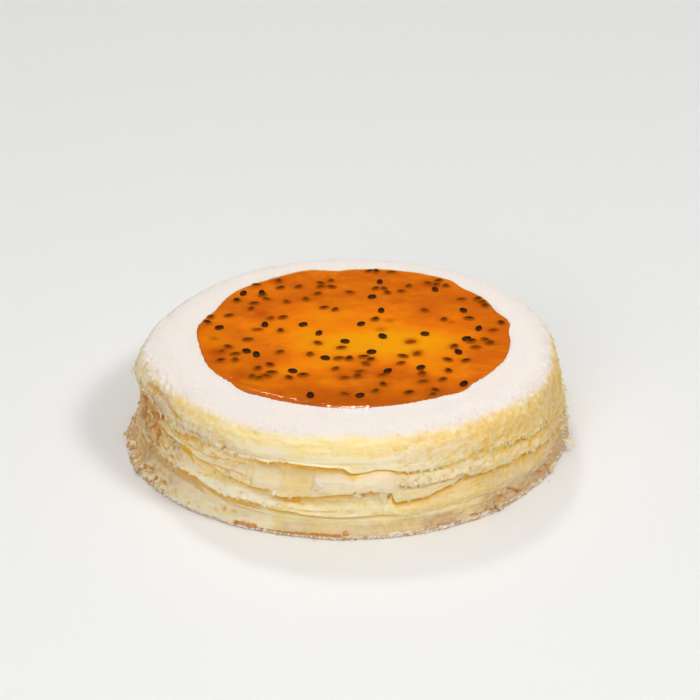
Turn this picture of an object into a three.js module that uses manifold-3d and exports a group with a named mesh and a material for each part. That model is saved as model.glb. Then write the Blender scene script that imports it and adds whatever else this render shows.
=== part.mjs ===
// A whole eight-inch passion-fruit crepe cake. Millimetres, +Z up, origin at the centre of the flat underside.
// Azimuths are in degrees: 0 is the front (-Y), 90 the right side (+X), and they run from -180 to 180.
// The cake is five stacked layers of crepes, whose folded edges show as ledges round the side, and a disc of
// fruit glaze with seeds in a shallow dish on top.
import * as THREE from "three";
import { mergeVertices } from "three/addons/utils/BufferGeometryUtils.js";
import Module from "manifold-3d";

// Driving dimensions
const CAKE_TOP = 44.7; // height of the top crepe beside the glaze
const SHOULDER_WIDTH = 16; // how far the rounded rim reaches in from the side
const SHOULDER_DROP = 11.7; // how far it comes down
const SHOULDER_ANGLES = [0, 14, 29, 45, 62, 90]; // steps up the shoulder's quarter round, in degrees
const SHOULDER_CLEARANCE = 1; // least height of the shoulder's foot above the edge under it
const GAP = 0.3; // clearance between neighbouring layers
const CORE_RADIUS = 82; // inside this the layers meet on flat planes

const GLAZE_RADIUS = 69.4;
const GLAZE_CENTRE_X = 3.9;
const GLAZE_TOP = 46.1;
const DISH_DEPTH = 1.5; // how far the glaze sinks into the top crepe
const DISH_SLOPE = 2.6; // width of the dish's sloping edge
const DISH_MARGIN = 1; // how far the dish's edge lies outside the glaze's
const GLAZE_INSET = 0.1; // how much further in than the dish's slope the glaze lies
const GLAZE_EDGE_ROUND = 1.1; // radius of the glaze's rounded rim
const GLAZE_RIM_BULGE = 0.2; // how far the rim bulges out
const GLAZE_RIM_WIDTH = 4; // width of the slightly raised band inside the rim
const GLAZE_SAG = 0.15; // how much lower the middle lies than that band

const SEED_LENGTH = 5;
const SEED_WIDTH = 3.4;
const SEED_THICKNESS = 2;
const SEED_SINK = 0.3; // depth of a seed's middle under the glaze's surface
const SEED_SIDES = 7;
const SEED_RINGS = 4;

const SEGMENTS = 120; // steps round the cake
const RAGGED_HEIGHT = 0.4; // how unevenly a crepe's torn edge runs
const RAGGED_REACH = 0.35; // how unevenly it stands out
const RAGGED_WAVES = [[17, 0.4], [29, 0.35], [43, 0.25]]; // waves round the cake and the share of each
const FOOT_PHASE = 5.3; // where those waves start on the foot

// For each edge: the height at which its two layers meet in the core, and where its waves start
const CAP_SEAM = { coreHeight: 31, phase: 0.3 };
const UPPER_SEAM = { coreHeight: 20, phase: 1.7 };
const MIDDLE_SEAM = { coreHeight: 11.5, phase: 2.9 };
const LOWER_SEAM = { coreHeight: 7.6, phase: 4.1 };

// Rows of points up each layer's face, between its two edges
const BASE_ROWS = 3;
const LOWER_ROWS = 1;
const MIDDLE_ROWS = 4;
const UPPER_ROWS = 5;
const CAP_ROWS = 2;

// Heights of the crepe edges that show round the side, as [azimuth, height]
const CAP_EDGE = [
  [-180, 33], [-150, 34], [-120, 32.5], [-92, 30.5], [-80, 32], [-67, 34], [-58, 32.2], [-52, 31],
  [-46, 32.4], [-34, 33.4], [-28, 31.6], [-10, 32.9], [-1, 32.4], [2, 29.9], [8, 30.8], [16, 29.2],
  [24, 28.4], [33, 30.6], [42, 29.4], [48, 26.6], [58, 24.2], [68, 22], [80, 23], [100, 27],
  [125, 30.5], [155, 31.5],
];
const UPPER_EDGE = [
  [-180, 19], [-150, 21], [-115, 20], [-92, 19.5], [-80, 21], [-73, 23.2], [-64, 27.6], [-56, 26.4],
  [-45, 26.5], [-38, 24.1], [-30, 21], [-20, 19], [-16, 17.2], [-8, 18.4], [0, 20.9], [9, 21.6],
  [13, 15], [18, 15.8], [26, 19.2], [31, 21.6], [37, 19.8], [50, 19.4], [57, 16.8], [70, 15],
  [90, 14.5], [120, 17], [150, 18.5],
];
const MIDDLE_EDGE = [
  [-180, 10.5], [-150, 11.5], [-120, 12], [-90, 13.5], [-75, 14.5], [-60, 16], [-42, 16.5],
  [-36, 13.8], [-30, 12.5], [-22, 13.2], [-16, 11.1], [0, 10], [8, 10.5], [14, 9.4], [60, 9.5],
  [90, 10.5], [120, 11], [150, 10],
];
const LOWER_EDGE = [
  [-180, 6.5], [-120, 7.5], [-90, 8], [-60, 8.8], [-45, 9.6], [-30, 8.8], [-20, 8], [8, 7.2],
  [30, 6.4], [60, 6], [90, 6.8], [130, 7.5],
];

// Radii of the same edges, as [azimuth, radius]
const CAP_RADIUS = [
  [-180, 92.8], [-150, 91.4], [-130, 90], [-110, 89.8], [-96, 91], [-84, 92.8], [-70, 92], [-58, 91.6],
  [-45, 93.4], [-30, 94.8], [0, 95.3], [35, 95.9], [60, 95.4], [88, 94.4], [108, 95.8], [140, 95],
];
const CAP_LIP = [
  [-180, 94], [-150, 92.8], [-115, 91.6], [-84, 93.6], [-58, 92.4], [-45, 94.5], [-30, 96], [0, 96.5],
  [35, 96.9], [60, 96.9], [88, 97], [108, 97], [140, 96],
];
const UPPER_LIP = [
  [-180, 95.5], [-135, 93], [-100, 90.6], [-82, 91], [-60, 93], [-45, 95], [-30, 96.3], [0, 97],
  [30, 97.6], [60, 97.5], [90, 98.2], [135, 97],
];
const MIDDLE_LIP = [
  [-180, 97], [-135, 94.2], [-100, 91.4], [-82, 92], [-60, 95], [-40, 97.4], [-20, 98], [0, 97.8],
  [40, 98], [90, 99.2], [135, 98.2],
];
const LOWER_LIP = [
  [-180, 97.5], [-135, 95.2], [-100, 92.6], [-84, 93.4], [-60, 95], [-45, 95.2], [-30, 95.6],
  [-20, 96.9], [0, 97.4], [40, 98.1], [90, 99.6], [135, 98.5],
];
const FOOT_RADIUS = [
  [-180, 98.2], [-135, 96.6], [-104, 95.6], [-94, 96.2], [-82, 98.6], [-68, 100], [-50, 99.6], [-30, 98.9],
  [-18, 98.2], [0, 98.6], [30, 99.2], [60, 99], [90, 100.2], [120, 99.4], [150, 98.6],
];

// How far each edge hangs out over the layer below it, as [azimuth, overhang]
const CAP_OVERHANG = [
  [-180, 1.2], [-90, 1.2], [-66, 2], [-50, 2.4], [-30, 1.3], [-20, 2.4], [-8, 3], [0, 2.2], [4, 0.8],
  [30, 0.9], [50, 1.6], [65, 1.2], [90, 0.9], [135, 1.5],
];
const UPPER_OVERHANG = [
  [-180, 1.2], [-90, 1.6], [-60, 1.5], [-35, 0.9], [-25, 1], [-18, 2.2], [9, 2.6], [20, 1.6],
  [31, 2.2], [50, 1.5], [60, 0.9], [90, 0.8], [135, 1.4],
];
const MIDDLE_OVERHANG = [
  [-180, 1], [-90, 1], [-60, 2.4], [-45, 3], [-30, 2.6], [-20, 1.2], [0, 0.8], [60, 0.7], [135, 1],
];
const LOWER_OVERHANG = [[-180, 0.8], [-45, 0.4], [-15, 0.7], [60, 0.8]];

// How far each layer's face swells between its two edges, as [azimuth, swell]
const CAP_SWELL = [[-180, 0], [0, 0]];
const UPPER_SWELL = [
  [-180, 0.7], [-90, 0.4], [-60, 0.6], [-26.5, 0], [-23.5, 1.1], [-12, 0.4], [-9, 0.3], [-5, 1.3], [6, 1.6],
  [14, 0.8], [60, 0.5], [120, 0.6],
];
const MIDDLE_SWELL = [[-180, 0.6], [-90, 0.5], [-40, 1], [-10, 0.5], [40, 0.8], [120, 0.6]];
const LOWER_SWELL = [[-180, 0.2], [0, 0.2]];
const BASE_SWELL = [[-180, 0.3], [-90, 0.6], [-40, 0.9], [0, 0.4], [40, 0.5], [90, 0.3]];

// The glaze's uneven outline, as [azimuth about its own centre, difference from its mean radius]
const GLAZE_WANDER = [
  [-180, -1.4], [-174, -2.8], [-161, 1.2], [-145, 0], [-130, 0.5], [-110, -2.1], [-95, 0.6], [-80, -0.7],
  [-58, 0.7], [-50, 0.2], [-41, 2], [-30, 0.4], [-14, -0.4], [18, -1.1], [31, -0.5], [40, 1.3], [47, -0.5],
  [73, 0.3], [91, -0.6], [99, 1.4], [110, -1], [121, 0.5], [133, 0], [141, 2.5], [152, 1.6], [163, 0.5],
];

// Seeds that stand proud of the glaze, as [right of, behind the glaze's centre, turn in degrees]
const PROUD_SEEDS = [
  [-42.5, -20.2, 100], [-39.9, 9, 95], [-18.3, -57.6, 95], [46.5, -47.6, 60], [14.5, -36, 40],
  [7.7, -18, 10], [-12.5, -23.8, 160], [-46.9, -17.2, 150], [45.5, -18, 120], [49.9, -5.2, 20],
  [28.7, -32.8, 30], [-26.3, -36, 165], [-3.9, -7.8, 170], [-15.5, 0.4, 60], [3.3, 9.6, 35],
  [12.7, -2.6, 130], [12.5, 23.6, 90], [-51.1, 41.8, 70], [-42.7, 42.6, 95], [-60.1, 5.8, 15],
  [-22.7, 9, 20], [8.5, 38, 20], [12.3, 54.4, 90], [37.9, 46, 110], [49.9, 23.6, 130], [31.5, -0.4, 170],
  [55.9, 5.2, 70], [2.5, -58, 30],
];

// Torn flakes that stand out from the side: the layer, the azimuth, the width there, and [radius, height] at the
// root inside the layer, at the bend and at the tip
const FLAKES = [
  ["crepe_base", 75.5, 3, [[96, 4.4], [102.6, 5], [104.4, 2.6]]],
  ["crepe_base", 63, 5, [[96.5, 1.6], [99.8, 2.6], [101, 1.2]]],
  ["crepe_base", 41, 6, [[96.5, 1.8], [99.6, 3.2], [100.6, 1.8]]],
  ["crepe_base", -64, 6, [[97, 2], [100.6, 3], [101.4, 1.4]]],
  ["crepe_base", -80, 7, [[96, 2.2], [99.6, 4.2], [101, 3.4]]],
  ["crepe_middle", 81, 2.4, [[96.5, 12.7], [100.2, 13.3], [101, 11.4]]],
  ["crepe_upper", 9.4, 3.4, [[96.6, 23.2], [97.5, 19.2], [97.5, 16.2]]],
  ["crepe_upper", 3.4, 2.6, [[96.8, 23], [97.4, 20.6], [97.3, 19.4]]],
  ["crepe_cap", -83, 6, [[91.5, 34.5], [94.4, 33.2], [95, 31.6]]],
  ["crepe_cap", -50, 5, [[93, 33.6], [94.6, 31.8], [95, 29.8]]],
];
const FLAKE_THICKNESS = 1;
const FLAKE_TAPER = [1, 0.8, 0.3]; // width at the root, the bend and the tip, as shares of the flake's width

// The value at an azimuth of a list of knots that closes round the cake, eased between knots
function around(knots, azimuth) {
  const turned = ((((azimuth + 180) % 360) + 360) % 360) - 180;
  let after = knots.findIndex((knot) => knot[0] > turned);
  if (after < 0) after = knots.length;
  const [fromAzimuth, fromValue] = knots[after - 1];
  const [toAzimuth, toValue] = after < knots.length ? knots[after] : [180, knots[0][1]];
  const share = (turned - fromAzimuth) / (toAzimuth - fromAzimuth);
  return fromValue + (toValue - fromValue) * share * share * (3 - 2 * share);
}

// An uneven wave round the cake between -1 and 1. Each edge has its own phase
function unevenness(azimuth, phase) {
  const turn = THREE.MathUtils.degToRad(azimuth) + phase;
  return RAGGED_WAVES.reduce((sum, [count, share]) => sum + share * Math.sin(count * turn), 0);
}

// A point at an azimuth, a radius and a height about an upright axis at x = centreX
function pointAt(azimuth, radius, height, centreX = 0) {
  const turn = THREE.MathUtils.degToRad(azimuth);
  return [centreX + radius * Math.sin(turn), -radius * Math.cos(turn), height];
}

// One closed ring of points, from a rule for the point at each azimuth
function ringOf(rule) {
  return Array.from({ length: SEGMENTS }, (_, step) => rule((step * 360) / SEGMENTS - 180));
}

// A closed body through rings from its underside, up its side to its top, with a pole at both ends. Where the
// rings close in, the four-sided faces are halved along their other diagonal, so that a top and the underside
// that lies on it fold alike
function bodyOf(bottomPole, rings, topPole) {
  const positions = [...rings.flat(), bottomPole, topPole].flat();
  const bottom = rings.length * SEGMENTS;
  const top = bottom - SEGMENTS;
  const triangles = [];
  rings.slice(1).forEach((ring, index) => {
    const low = index * SEGMENTS;
    const high = low + SEGMENTS;
    const closesIn = Math.hypot(ring[0][0], ring[0][1]) < Math.hypot(rings[index][0][0], rings[index][0][1]);
    for (let step = 0; step < SEGMENTS; step += 1) {
      const next = (step + 1) % SEGMENTS;
      if (closesIn) {
        triangles.push(low + step, low + next, high + step);
        triangles.push(low + next, high + next, high + step);
      } else {
        triangles.push(low + step, low + next, high + next);
        triangles.push(low + step, high + next, high + step);
      }
    }
  });
  for (let step = 0; step < SEGMENTS; step += 1) {
    const next = (step + 1) % SEGMENTS;
    triangles.push(bottom, next, step);
    triangles.push(bottom + 1, top + step, top + next);
  }
  const geometry = new THREE.BufferGeometry();
  geometry.setAttribute("position", new THREE.Float32BufferAttribute(positions, 3));
  geometry.setIndex(triangles);
  return geometry;
}

// The edge that parts two layers: the lip of the upper one, the neck of the lower one under it, and the
// surface between them, flat inside the core and tilting from there to the edge's height at the lip
function edgeOf({ coreHeight, phase }, heights, lips, overhangs) {
  const lip = (azimuth) => around(lips, azimuth) + RAGGED_REACH * unevenness(azimuth, phase + 1);
  const height = (azimuth) => around(heights, azimuth) + RAGGED_HEIGHT * unevenness(azimuth, phase);
  const neck = (azimuth) => lip(azimuth) - around(overhangs, azimuth);
  const heightUnder = (azimuth, radius) => {
    const share = (radius - CORE_RADIUS) / (lip(azimuth) - CORE_RADIUS);
    return coreHeight + (height(azimuth) - coreHeight) * share;
  };
  return { coreHeight, lip, height, neck, heightUnder };
}

// The underside of a layer, from its core out to its lip
function undersideRings(edge) {
  return [
    ringOf((azimuth) => pointAt(azimuth, CORE_RADIUS, edge.coreHeight)),
    ringOf((azimuth) => pointAt(azimuth, edge.neck(azimuth), edge.heightUnder(azimuth, edge.neck(azimuth)))),
    ringOf((azimuth) => pointAt(azimuth, edge.lip(azimuth), edge.height(azimuth))),
  ];
}

// The top of a layer, from its neck in to its core, a gap under the layer above
function topRings(edge) {
  return [
    ringOf((azimuth) => {
      const radius = edge.neck(azimuth);
      return pointAt(azimuth, radius, edge.heightUnder(azimuth, radius) - GAP);
    }),
    ringOf((azimuth) => pointAt(azimuth, CORE_RADIUS, edge.coreHeight - GAP)),
  ];
}

// A layer's face, rising from its lip to its neck: full just above the lip, swelling in between
function faceRings(rows, foot, head, swell) {
  return Array.from({ length: rows }, (_, index) => (index + 1) / (rows + 1)).map((share) =>
    ringOf((azimuth) => {
      const low = foot(azimuth);
      const high = head(azimuth);
      const draw = share * share * (3 - 2 * share);
      const radius = low.radius + (high.radius - low.radius) * draw;
      const bulge = around(swell, azimuth) * Math.sin(Math.PI * share);
      return pointAt(azimuth, radius + bulge, low.height + (high.height - low.height) * share);
    }),
  );
}

const lipOf = (edge) => (azimuth) => ({ radius: edge.lip(azimuth), height: edge.height(azimuth) });
const neckOf = (edge) => (azimuth) => {
  const radius = edge.neck(azimuth);
  return { radius, height: edge.heightUnder(azimuth, radius) - GAP };
};

const capEdge = edgeOf(CAP_SEAM, CAP_EDGE, CAP_LIP, CAP_OVERHANG);
const upperEdge = edgeOf(UPPER_SEAM, UPPER_EDGE, UPPER_LIP, UPPER_OVERHANG);
const middleEdge = edgeOf(MIDDLE_SEAM, MIDDLE_EDGE, MIDDLE_LIP, MIDDLE_OVERHANG);
const lowerEdge = edgeOf(LOWER_SEAM, LOWER_EDGE, LOWER_LIP, LOWER_OVERHANG);

// A layer between two edges
function layerOf(below, above, rows, swell) {
  const rings = [
    ...undersideRings(below),
    ...faceRings(rows, lipOf(below), neckOf(above), swell),
    ...topRings(above),
  ];
  return bodyOf([0, 0, below.coreHeight], rings, [0, 0, above.coreHeight - GAP]);
}

// The base layer, which stands flat on its foot
function baseGeometry() {
  const foot = (azimuth) => ({
    radius: around(FOOT_RADIUS, azimuth) + RAGGED_REACH * unevenness(azimuth, FOOT_PHASE),
    height: 0,
  });
  const rings = [
    ringOf((azimuth) => pointAt(azimuth, foot(azimuth).radius, 0)),
    ...faceRings(BASE_ROWS, foot, neckOf(lowerEdge), BASE_SWELL),
    ...topRings(lowerEdge),
  ];
  return bodyOf([0, 0, 0], rings, [0, 0, lowerEdge.coreHeight - GAP]);
}

// The glaze's outline, drawn in by an inset
const glazeRadius = (azimuth, inset) => GLAZE_RADIUS + around(GLAZE_WANDER, azimuth) - inset;
const glazeRing = (inset, height) =>
  ringOf((azimuth) => pointAt(azimuth, glazeRadius(azimuth, inset), height, GLAZE_CENTRE_X));

// The top crepe: its side, the round shoulder up to the flat top, and the dish that holds the glaze
function capGeometry() {
  const sideTop = CAKE_TOP - SHOULDER_DROP;
  const shoulderFoot = (azimuth) => ({
    radius: around(CAP_RADIUS, azimuth),
    height: Math.max(sideTop, capEdge.height(azimuth) + SHOULDER_CLEARANCE),
  });
  const shoulder = SHOULDER_ANGLES.map((angle) =>
    ringOf((azimuth) => {
      const { radius, height } = shoulderFoot(azimuth);
      const turn = THREE.MathUtils.degToRad(angle);
      const reach = radius - SHOULDER_WIDTH * (1 - Math.cos(turn));
      return pointAt(azimuth, reach, height + (CAKE_TOP - height) * Math.sin(turn));
    }),
  );
  const rings = [
    ...undersideRings(capEdge),
    ...faceRings(CAP_ROWS, lipOf(capEdge), shoulderFoot, CAP_SWELL),
    ...shoulder,
    glazeRing(-DISH_MARGIN, CAKE_TOP),
    glazeRing(DISH_SLOPE - DISH_MARGIN, CAKE_TOP - DISH_DEPTH),
  ];
  return bodyOf([0, 0, capEdge.coreHeight], rings, [GLAZE_CENTRE_X, 0, CAKE_TOP - DISH_DEPTH]);
}

// The glaze without its seeds: it fills the dish and stands above it with a rounded rim
function glazeGeometry() {
  const bed = CAKE_TOP - DISH_DEPTH + GAP;
  const brim = CAKE_TOP + GAP;
  const middle = GLAZE_TOP - GLAZE_SAG;
  const rim = [90, 50, 0].map((angle) => {
    const turn = THREE.MathUtils.degToRad(angle);
    const inset = GLAZE_EDGE_ROUND - (GLAZE_EDGE_ROUND + GLAZE_RIM_BULGE) * Math.sin(turn);
    return glazeRing(inset, GLAZE_TOP - (GLAZE_TOP - brim - GAP) * (1 - Math.cos(turn)));
  });
  const rings = [
    glazeRing(DISH_SLOPE - DISH_MARGIN + GLAZE_INSET, bed),
    glazeRing(-GLAZE_INSET, brim),
    ...rim,
    glazeRing(GLAZE_EDGE_ROUND + GLAZE_RIM_WIDTH, middle),
  ];
  return bodyOf([GLAZE_CENTRE_X, 0, bed], rings, [GLAZE_CENTRE_X, 0, middle]);
}

// A flat oval seed, lying in the glaze's surface
function seedGeometry([right, behind, turn]) {
  const seed = new THREE.SphereGeometry(1, SEED_SIDES, SEED_RINGS);
  seed.rotateX(Math.PI / 2);
  seed.scale(SEED_LENGTH / 2, SEED_WIDTH / 2, SEED_THICKNESS / 2);
  seed.rotateZ(THREE.MathUtils.degToRad(turn));
  seed.translate(GLAZE_CENTRE_X + right, behind, GLAZE_TOP - SEED_SINK);
  return seed;
}

// A torn flake: a tapering four-sided strip, bent once
function flakeGeometry(azimuth, width, profile) {
  const corners = [[-1, -1], [1, -1], [1, 1], [-1, 1]];
  const [root, , tip] = profile;
  const rise = Math.atan2(tip[1] - root[1], tip[0] - root[0]);
  const sections = profile.map(([radius, height], index) => {
    const halfTurn = THREE.MathUtils.radToDeg((FLAKE_TAPER[index] * width) / 2 / radius);
    const half = FLAKE_THICKNESS / 2;
    return corners.map(([side, face]) =>
      pointAt(
        azimuth + side * halfTurn,
        radius - face * half * Math.sin(rise),
        height + face * half * Math.cos(rise),
      ),
    );
  });
  const triangles = [[0, 2, 1], [0, 3, 2], [8, 9, 10], [8, 10, 11]];
  [0, 4].forEach((low) =>
    [0, 1, 2, 3].forEach((corner) => {
      const next = (corner + 1) % 4;
      triangles.push([low + corner, low + next, low + 4 + next]);
      triangles.push([low + corner, low + 4 + next, low + 4 + corner]);
    }),
  );
  const geometry = new THREE.BufferGeometry();
  geometry.setAttribute("position", new THREE.Float32BufferAttribute(sections.flat(2), 3));
  geometry.setIndex(triangles.flat());
  return geometry;
}

const wasm = await Module();
wasm.setup();

// A closed geometry as a solid that can be joined to another
function solidOf(geometry) {
  const bare = geometry.clone();
  bare.deleteAttribute("normal");
  bare.deleteAttribute("uv");
  const merged = mergeVertices(bare, 1e-4);
  return new wasm.Manifold(
    new wasm.Mesh({
      numProp: 3,
      vertProperties: new Float32Array(merged.getAttribute("position").array),
      triVerts: new Uint32Array(merged.index.array),
    }),
  );
}

function geometryOf(solid) {
  const mesh = solid.getMesh();
  const geometry = new THREE.BufferGeometry();
  geometry.setAttribute("position", new THREE.BufferAttribute(mesh.vertProperties, 3));
  geometry.setIndex(new THREE.BufferAttribute(mesh.triVerts, 1));
  return geometry;
}

// A body with smaller pieces fused on
function fused(body, pieces) {
  return geometryOf(pieces.reduce((whole, piece) => whole.add(solidOf(piece)), solidOf(body)));
}

const cake = new THREE.Group();

function addLayer(name, body, color, roughness) {
  const flakes = FLAKES.filter(([layer]) => layer === name);
  const geometry = fused(body, flakes.map(([, ...flake]) => flakeGeometry(...flake)));
  geometry.computeVertexNormals();
  const material = new THREE.MeshStandardMaterial({ color, roughness, metalness: 0 });
  const mesh = new THREE.Mesh(geometry, material);
  mesh.name = name;
  cake.add(mesh);
}

addLayer("crepe_base", baseGeometry(), 0xeed9a0, 0.8);
addLayer("crepe_lower", layerOf(lowerEdge, middleEdge, LOWER_ROWS, LOWER_SWELL), 0xe0c684, 0.8);
addLayer("crepe_middle", layerOf(middleEdge, upperEdge, MIDDLE_ROWS, MIDDLE_SWELL), 0xf0dca6, 0.8);
addLayer("crepe_upper", layerOf(upperEdge, capEdge, UPPER_ROWS, UPPER_SWELL), 0xf2e1b4, 0.8);
addLayer("crepe_cap", capGeometry(), 0xf4e6c4, 0.85);
addLayer("fruit_glaze", fused(glazeGeometry(), PROUD_SEEDS.map(seedGeometry)), 0xe07a12, 0.08);

export default cake;
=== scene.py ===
"""A whole passion-fruit crepe cake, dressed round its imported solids.

Lengths are in millimetres and turned into Blender's metres where a mesh is made. Those of the camera, the
lights and the floor are in metres. Azimuths are in degrees, from -180 to 180: 0 is the front (-Y), and 90 the
right side (+X).
"""
import math

import bpy
import numpy as np
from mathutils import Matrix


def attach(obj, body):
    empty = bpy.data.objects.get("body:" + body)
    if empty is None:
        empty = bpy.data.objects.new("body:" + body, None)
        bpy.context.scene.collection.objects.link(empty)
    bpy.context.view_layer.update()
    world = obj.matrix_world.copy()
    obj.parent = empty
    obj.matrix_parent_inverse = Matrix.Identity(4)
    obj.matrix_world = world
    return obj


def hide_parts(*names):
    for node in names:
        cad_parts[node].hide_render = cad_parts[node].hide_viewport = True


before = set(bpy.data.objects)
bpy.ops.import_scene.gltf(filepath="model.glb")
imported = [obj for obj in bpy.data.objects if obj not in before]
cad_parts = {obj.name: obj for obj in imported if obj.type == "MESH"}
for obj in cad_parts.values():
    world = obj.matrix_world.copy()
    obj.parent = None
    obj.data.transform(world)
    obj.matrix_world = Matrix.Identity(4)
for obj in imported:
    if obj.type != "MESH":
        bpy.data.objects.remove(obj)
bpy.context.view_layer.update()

MM = 0.001


# ---------------------------------------------------------------- camera, light and floor

CAMERA_PLACE = (0.00218, -0.76890, 0.42864)
CAMERA_PITCH = 26.986  # degrees below level
CAMERA_LENS = 99.39
SENSOR_WIDTH = 36
NEAR_CLIP = 0.05
FLOOR_SIZE = 6.0

# The front light is soft and leaves no glints. The glint light adds only those on the glaze's front rim.
LIGHTS = {
    "key": {"place": (1.5, -0.7, 1.9), "size": 0.65, "watts": 23.0},
    "front": {"place": (-1.0, -2.2, 1.2), "size": 1.4, "watts": 25.0, "glossy": False},
    "back": {"place": (-0.46, 1.8, 2.07), "size": 0.45, "watts": 14.0},
    "glint": {"place": (0.02, -0.2, 2.3), "size": 0.45, "watts": 150.0, "diffuse": False},
}
LIGHT_TARGET = (0, 0, 0.03)
SKY_COLOUR = (0.97, 0.98, 1.0, 1)
SKY_STRENGTH = (0.05, 0.78)  # at the horizon and overhead
SKY_RISE = (0.5, 0.9)  # the sines of the elevations between which it brightens
FLOOR_COLOUR = (0.84, 0.835, 0.81, 1)
FLOOR_ROUGHNESS = 0.6


def add_camera():
    data = bpy.data.cameras.new("camera")
    data.lens = CAMERA_LENS
    data.sensor_width = SENSOR_WIDTH
    data.clip_start = NEAR_CLIP
    camera = bpy.data.objects.new("camera", data)
    camera.location = CAMERA_PLACE
    camera.rotation_euler = (math.radians(90 - CAMERA_PITCH), 0, 0)
    bpy.context.scene.collection.objects.link(camera)
    bpy.context.scene.camera = camera


def add_area_light(name, light):
    data = bpy.data.lights.new(name, "AREA")
    data.shape = "DISK"
    data.size = light["size"]
    data.energy = light["watts"]
    lamp = bpy.data.objects.new(name, data)
    lamp.location = light["place"]
    lamp.visible_glossy = light.get("glossy", True)
    lamp.visible_diffuse = light.get("diffuse", True)
    away = [place - target for place, target in zip(light["place"], LIGHT_TARGET)]
    level = math.hypot(away[0], away[1])
    lamp.rotation_euler = (math.atan2(level, away[2]), 0, math.atan2(away[0], -away[1]))
    bpy.context.scene.collection.objects.link(lamp)


def add_floor():
    half = FLOOR_SIZE / 2
    mesh = bpy.data.meshes.new("floor")
    corners = [(-half, -half, 0), (half, -half, 0), (half, half, 0), (-half, half, 0)]
    mesh.from_pydata(corners, [], [(0, 1, 2, 3)])
    floor = bpy.data.objects.new("floor", mesh)
    bpy.context.scene.collection.objects.link(floor)
    material = bpy.data.materials.new("pale_floor")
    material.use_nodes = True
    surface = material.node_tree.nodes["Principled BSDF"]
    surface.inputs["Base Color"].default_value = FLOOR_COLOUR
    surface.inputs["Roughness"].default_value = FLOOR_ROUGHNESS
    mesh.materials.append(material)


def light_scene():
    world = bpy.data.worlds.new("studio")
    bpy.context.scene.world = world
    world.use_nodes = True
    tree = world.node_tree
    background = tree.nodes["Background"]
    background.inputs["Color"].default_value = SKY_COLOUR
    direction = tree.nodes.new("ShaderNodeTexCoord")
    parts = tree.nodes.new("ShaderNodeSeparateXYZ")
    rise = tree.nodes.new("ShaderNodeMapRange")
    rise.interpolation_type = "SMOOTHSTEP"
    rise.inputs["From Min"].default_value, rise.inputs["From Max"].default_value = SKY_RISE
    rise.inputs["To Min"].default_value, rise.inputs["To Max"].default_value = SKY_STRENGTH
    tree.links.new(direction.outputs["Generated"], parts.inputs[0])
    tree.links.new(parts.outputs["Z"], rise.inputs["Value"])
    tree.links.new(rise.outputs["Result"], background.inputs["Strength"])
    for name, light in LIGHTS.items():
        add_area_light(name, light)
    bpy.context.scene.view_settings.view_transform = "Standard"


# ---------------------------------------------------------------- the cake's shape

CAKE_TOP = 44.7  # height of the top crepe beside the glaze
SHOULDER_WIDTH = 16  # how far the rounded rim reaches in from the side
SHOULDER_DROP = 11.7  # how far under the top the shoulder starts
SHOULDER_CLEARANCE = 1  # the least that it starts above the cap's edge
GAP = 0.3  # clearance between neighbouring layers
CORE_RADIUS = 82  # inside this the layers meet on flat planes
SIDE_RADIUS = 97.0  # about where the side lies, for the noise along its edges
FOOT_PATH_RADIUS = 98.0  # the same for its foot

GLAZE_RADIUS = 69.4
GLAZE_CENTRE_X = 3.9
GLAZE_TOP = 46.1
DISH_DEPTH = 1.5
DISH_SLOPE = 2.6  # how far in the dish's wall reaches from its brim
DISH_MARGIN = 1  # how far outside the glaze's outline the brim lies
DISH_FLOOR = CAKE_TOP - DISH_DEPTH
DISH_INSET = DISH_SLOPE - DISH_MARGIN  # how far inside the glaze's outline the floor starts

RAGGED_HEIGHT = 0.4  # how far the edges waver up and down
RAGGED_REACH = 0.35  # and in and out
RAGGED_WAVES = ((17, 0.4), (29, 0.35), (43, 0.25))  # as (waves round the cake, share)
FOOT_PHASE = 5.3

STEPS = 1320  # steps round the cake
RING_AZIMUTHS = np.arange(STEPS) * 360 / STEPS - 180

# Heights of the crepe edges that show round the side, as (azimuth, height)
CAP_EDGE = (
    (-180, 33), (-150, 34), (-120, 32.5), (-92, 30.5), (-80, 32), (-67, 34), (-58, 32.2), (-52, 31),
    (-46, 32.4), (-34, 33.4), (-28, 31.6), (-10, 32.9), (-1, 32.4), (2, 29.9), (8, 30.8), (16, 29.2),
    (24, 28.4), (33, 30.6), (42, 29.4), (48, 26.6), (58, 24.2), (68, 22), (80, 23), (100, 27),
    (125, 30.5), (155, 31.5),
)
UPPER_EDGE = (
    (-180, 19), (-150, 21), (-115, 20), (-92, 19.5), (-80, 21), (-73, 23.2), (-64, 27.6), (-56, 26.4),
    (-45, 26.5), (-38, 24.1), (-30, 21), (-20, 19), (-16, 17.2), (-8, 18.4), (0, 20.9), (9, 21.6),
    (13, 15), (18, 15.8), (26, 19.2), (31, 21.6), (37, 19.8), (50, 19.4), (57, 16.8), (70, 15),
    (90, 14.5), (120, 17), (150, 18.5),
)
MIDDLE_EDGE = (
    (-180, 10.5), (-150, 11.5), (-120, 12), (-90, 13.5), (-75, 14.5), (-60, 16), (-42, 16.5),
    (-36, 13.8), (-30, 12.5), (-22, 13.2), (-16, 11.1), (0, 10), (8, 10.5), (14, 9.4), (60, 9.5),
    (90, 10.5), (120, 11), (150, 10),
)
LOWER_EDGE = (
    (-180, 6.5), (-120, 7.5), (-90, 8), (-60, 8.8), (-45, 9.6), (-30, 8.8), (-20, 8), (8, 7.2),
    (30, 6.4), (60, 6), (90, 6.8), (130, 7.5),
)

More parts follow.
